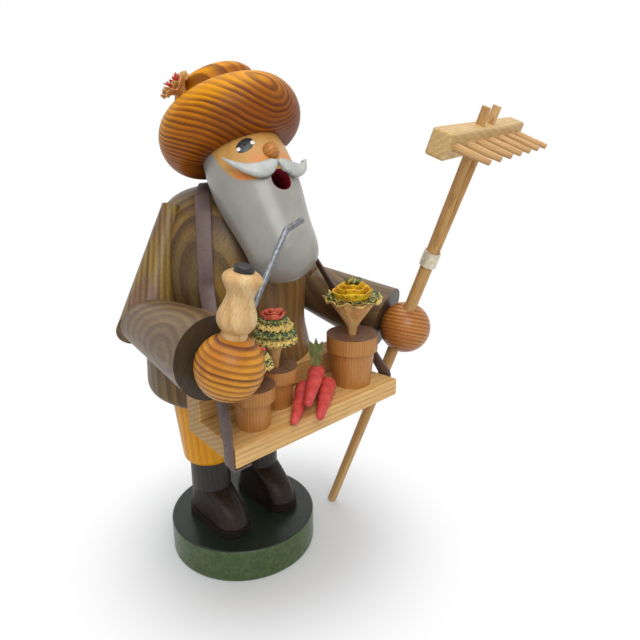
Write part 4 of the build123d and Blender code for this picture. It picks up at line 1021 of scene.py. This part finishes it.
def make_flowers():
    """Shaving flowers in the three pots and on the hat."""
    tan = wood(
        "shaving_tan", (228, 186, 126), (204, 150, 90), layers((0.8, -0.6, 0.0)), spacing=0.9,
        waves=(0.8, 8.0), fibre=0.5, roughness=(0.5, 0.7), lacquer=0.0,
        tint=(208, 154, 94), tint_size=6.0)
    cream = fleck_paint("shaving_cream", (228, 198, 110), (204, 170, 96), (52, 84, 54), 0.1)
    green = fleck_paint("shaving_green", (190, 168, 88), (78, 104, 62), (44, 76, 52), 0.14)
    coral = fleck_paint("shaving_coral", (226, 112, 86), (210, 86, 66), (234, 146, 110), 0.03)
    yellow = fleck_paint("shaving_yellow", (242, 208, 26), (220, 158, 40), (74, 96, 52), 0.02)
    red = fleck_paint("stamen_red", (186, 52, 42), (204, 84, 58), (150, 34, 32), 0.02)

    # Numbers of a frill: inner and outer radius, base, rise, droop, waves and depth
    large = Matrix.Translation(LARGE_POT)
    make_flower("large_flower", large, stalk=1.9, rim=10.2, cone=15.6, paint=tan)
    make_frill("large_flower_rim", large, 8.4, 12.6, 14.8, 2.6, 1.0, 9, 1.0, cream, seed=1)
    make_frill("large_flower_collar", large, 7.0, 11.4, 15.8, 2.6, 0.9, 17, 0.7, green, seed=2)
    make_rosette(
        "large_flower_rosette", large, radius=7.6, base=17.6, top=22.4, turns=3.2, band=3.4,
        paint=yellow, seed=3)
    make_frill("large_flower_tip", large, 0.6, 3.4, 22.6, 2.2, 0.4, 9, 0.6, green, seed=4)

    small_frills = (
        ("skirt", 2.8, 8.6, 13.4, 2.6, 5.6, 19, 0.6, cream),
        ("mantle", 2.6, 8.0, 15.2, 2.4, 4.6, 23, 0.6, green),
        ("ruff", 2.2, 7.0, 17.0, 2.0, 3.4, 17, 0.55, cream),
        ("collar", 1.8, 5.6, 18.4, 1.4, 2.0, 15, 0.5, green),
    )
    lean = Matrix.Rotation(FRONT_FLOWER_LEAN, 4, "Y")
    for node, place, width, tall, seed in (
        ("back_flower", Matrix.Translation(BACK_POT), 1.06, 1.12, 10),
        ("front_flower", Matrix.Translation(FRONT_POT) @ lean, 0.92, 0.68, 20),
    ):
        make_flower(node, place, stalk=1.5, rim=4.8 * width, cone=12.0 * tall, paint=tan)
        for number, (part, inner, outer, base, rise, droop, waves, depth, tone) in enumerate(small_frills):
            make_frill(
                f"{node}_{part}", place, inner * width, outer * width, base * tall, rise, droop * tall,
                waves, depth, tone, seed + number)
        make_rosette(
            node + "_top", place, radius=4.0 * width, base=19.4 * tall, top=20.8 * tall, turns=2.4, band=2.0,
            paint=coral, seed=seed + len(small_frills))

    turn = Matrix.Rotation(HAT_FLOWER_TURN, 4, "Z")
    root = HAT @ Matrix.Translation((0, 0, HAT_FLOWER_RISE)) @ turn @ Vector((-CROWN_RADIUS, 0, 0))
    way = Vector(HAT_FLOWER_WAY).to_track_quat("Z", "Y").to_matrix().to_4x4()
    spot_on_hat = Matrix.Translation(root) @ way
    make_flower("hat_flower", spot_on_hat, stalk=1.4, rim=4.4, cone=5.0, paint=tan)
    make_frill("hat_flower_rim", spot_on_hat, 3.4, 6.6, 4.2, 2.2, 0.6, 7, 1.0, tan, seed=40)
    make_frill("hat_flower_curl", spot_on_hat, 2.4, 5.2, 4.8, 2.6, 0.4, 8, 0.9, tan, seed=41)
    make_stamens("hat_flower_stamens", spot_on_hat, red)


STAMEN_COUNT = 22
STAMEN_SEED = 50
STAMEN_SIDES = 6
# Radii of a stamen from its root to its tip
STAMEN_RADII = (0.2, 0.22, 0.24, 0.34, 0.44, 0.18)
STAMEN_ROOTS = 1.6
STAMEN_SPREAD = 5.0
STAMEN_BOW = 0.8


def make_stamens(name, place, paint):
    """Spray of thin red stamens with thicker tips."""
    draw = random.Random(STAMEN_SEED)
    points = []
    faces = []
    for _ in range(STAMEN_COUNT):
        angle = draw.uniform(0, math.tau)
        spread = math.sqrt(draw.uniform(0.02, 1.0))
        root = around(STAMEN_ROOTS * spread, angle, 3.2)
        tip = around(STAMEN_SPREAD * spread, angle, draw.uniform(7.2, 9.2))
        start = len(points)
        for row, radius in enumerate(STAMEN_RADII):
            share = row / (len(STAMEN_RADII) - 1)
            centre = root.lerp(tip, share) + Vector((0, 0, STAMEN_BOW * math.sin(math.pi * share)))
            for turn in circle(STAMEN_SIDES):
                points.append(place @ (centre + around(radius, turn, 0)))
        faces += tube_faces(len(STAMEN_RADII), STAMEN_SIDES, start)
    make_piece(name, points, faces, paint)


def seen_rays(tree):
    """1 for rays that show something directly, in a reflection or through a clear piece, 0 for light."""
    rays = tree.nodes.new("ShaderNodeLightPath")
    seen = rays.outputs["Is Camera Ray"]
    for kind in ("Is Glossy Ray", "Is Transmission Ray"):
        join = tree.nodes.new("ShaderNodeMath")
        join.operation = "MAXIMUM"
        tree.links.new(seen, join.inputs[0])
        tree.links.new(rays.outputs[kind], join.inputs[1])
        seen = join.outputs[0]
    return seen


# Floor: half its side in metres; place, start and end of its fade to white in millimetres; least share
FLOOR_HALF = 4.0
FADE_CENTRE = (10.0, -10.0, 0.0)
FADE_START = 36.0
FADE_END = 106.0
FADE_LEAST = 0.08


def make_floor():
    """Plain pale floor that fades to white around the figure."""
    mesh = bpy.data.meshes.new("floor")
    corners = [(x * FLOOR_HALF, y * FLOOR_HALF, 0) for x, y in ((-1, -1), (1, -1), (1, 1), (-1, 1))]
    mesh.from_pydata(corners, [], [(0, 1, 2, 3)])
    floor = bpy.data.objects.new("floor", mesh)
    bpy.context.collection.objects.link(floor)
    paint = Paint("floor_white", 0.9)
    paint.colour(srgb(222, 224, 227))
    mesh.materials.append(paint.material)
    away = paint.vector("LENGTH", paint.vector("SUBTRACT", paint.point(), FADE_CENTRE))
    far = paint.step(away, FADE_START, FADE_END)
    fade = paint.plus(paint.times(far, 1 - FADE_LEAST), FADE_LEAST)
    glow = paint.node("ShaderNodeEmission", {"Color": WHITE})
    share = paint.times(fade, seen_rays(paint.tree))
    feeds = {"Fac": share, 1: paint.shader.outputs["BSDF"], 2: glow.outputs["Emission"]}
    blend = paint.node("ShaderNodeMixShader", feeds)
    paint.link(blend.outputs["Shader"], paint.tree.nodes["Material Output"].inputs["Surface"])


def aim(data, place, way):
    """Lamp or camera that looks along a way from a place."""
    made = bpy.data.objects.new(data.name, data)
    made.location = place
    made.rotation_euler = way.to_track_quat("-Z", "Y").to_euler()
    bpy.context.collection.objects.link(made)
    return made


# Strength of the white surround as a light and as it is seen
SURROUND_LIGHT = 0.5
SURROUND_SEEN = 1.0
# Lamps: name, place in metres, size in metres and power in watts
LAMPS = (
    ("key", (-0.45, -0.75, 0.95), 0.7, 6.5),
    ("top", (0.1, 0.0, 1.2), 0.9, 5.0),
)
LAMP_TARGET = Vector((0, 0, 0.12))


def set_light():
    """White surround and two soft studio lamps."""
    world = bpy.data.worlds.new("surround")
    bpy.context.scene.world = world
    world.use_nodes = True
    tree = world.node_tree
    background = tree.nodes["Background"]
    background.inputs["Color"].default_value = WHITE
    strength = tree.nodes.new("ShaderNodeMapRange")
    strength.inputs["To Min"].default_value = SURROUND_LIGHT
    strength.inputs["To Max"].default_value = SURROUND_SEEN
    tree.links.new(seen_rays(tree), strength.inputs["Value"])
    tree.links.new(strength.outputs["Result"], background.inputs["Strength"])
    for name, place, size, power in LAMPS:
        data = bpy.data.lights.new(name, "AREA")
        data.energy = power
        data.size = size
        aim(data, place, LAMP_TARGET - Vector(place))


# The photograph's view: target and distance in metres, focal length as a share of the picture's width
CAMERA_AZIMUTH = math.radians(-44.0)
CAMERA_ELEVATION = math.radians(18.8)
CAMERA_TARGET = Vector((29.5, -26.5, 118.0)) * MM
CAMERA_DISTANCE = 0.29
SENSOR_WIDTH = 36.0
FOCAL_SHARE = 620 / 640


def set_camera():
    """Camera at the photograph's viewing angle."""
    level = math.cos(CAMERA_ELEVATION)
    across = math.sin(CAMERA_AZIMUTH) * level
    forward = -math.cos(CAMERA_AZIMUTH) * level
    back = Vector((across, forward, math.sin(CAMERA_ELEVATION)))
    data = bpy.data.cameras.new("camera")
    data.sensor_width = SENSOR_WIDTH
    data.lens = SENSOR_WIDTH * FOCAL_SHARE
    data.clip_start = 0.01
    bpy.context.scene.camera = aim(data, CAMERA_TARGET + back * CAMERA_DISTANCE, -back)


dress_figure()
dress_tools()
dress_stand()
dress_small_pieces()
make_face(surface_of("head"))
make_straps()
make_flowers()
make_floor()
set_light()
set_camera()
bpy.context.scene.view_settings.view_transform = "Standard"
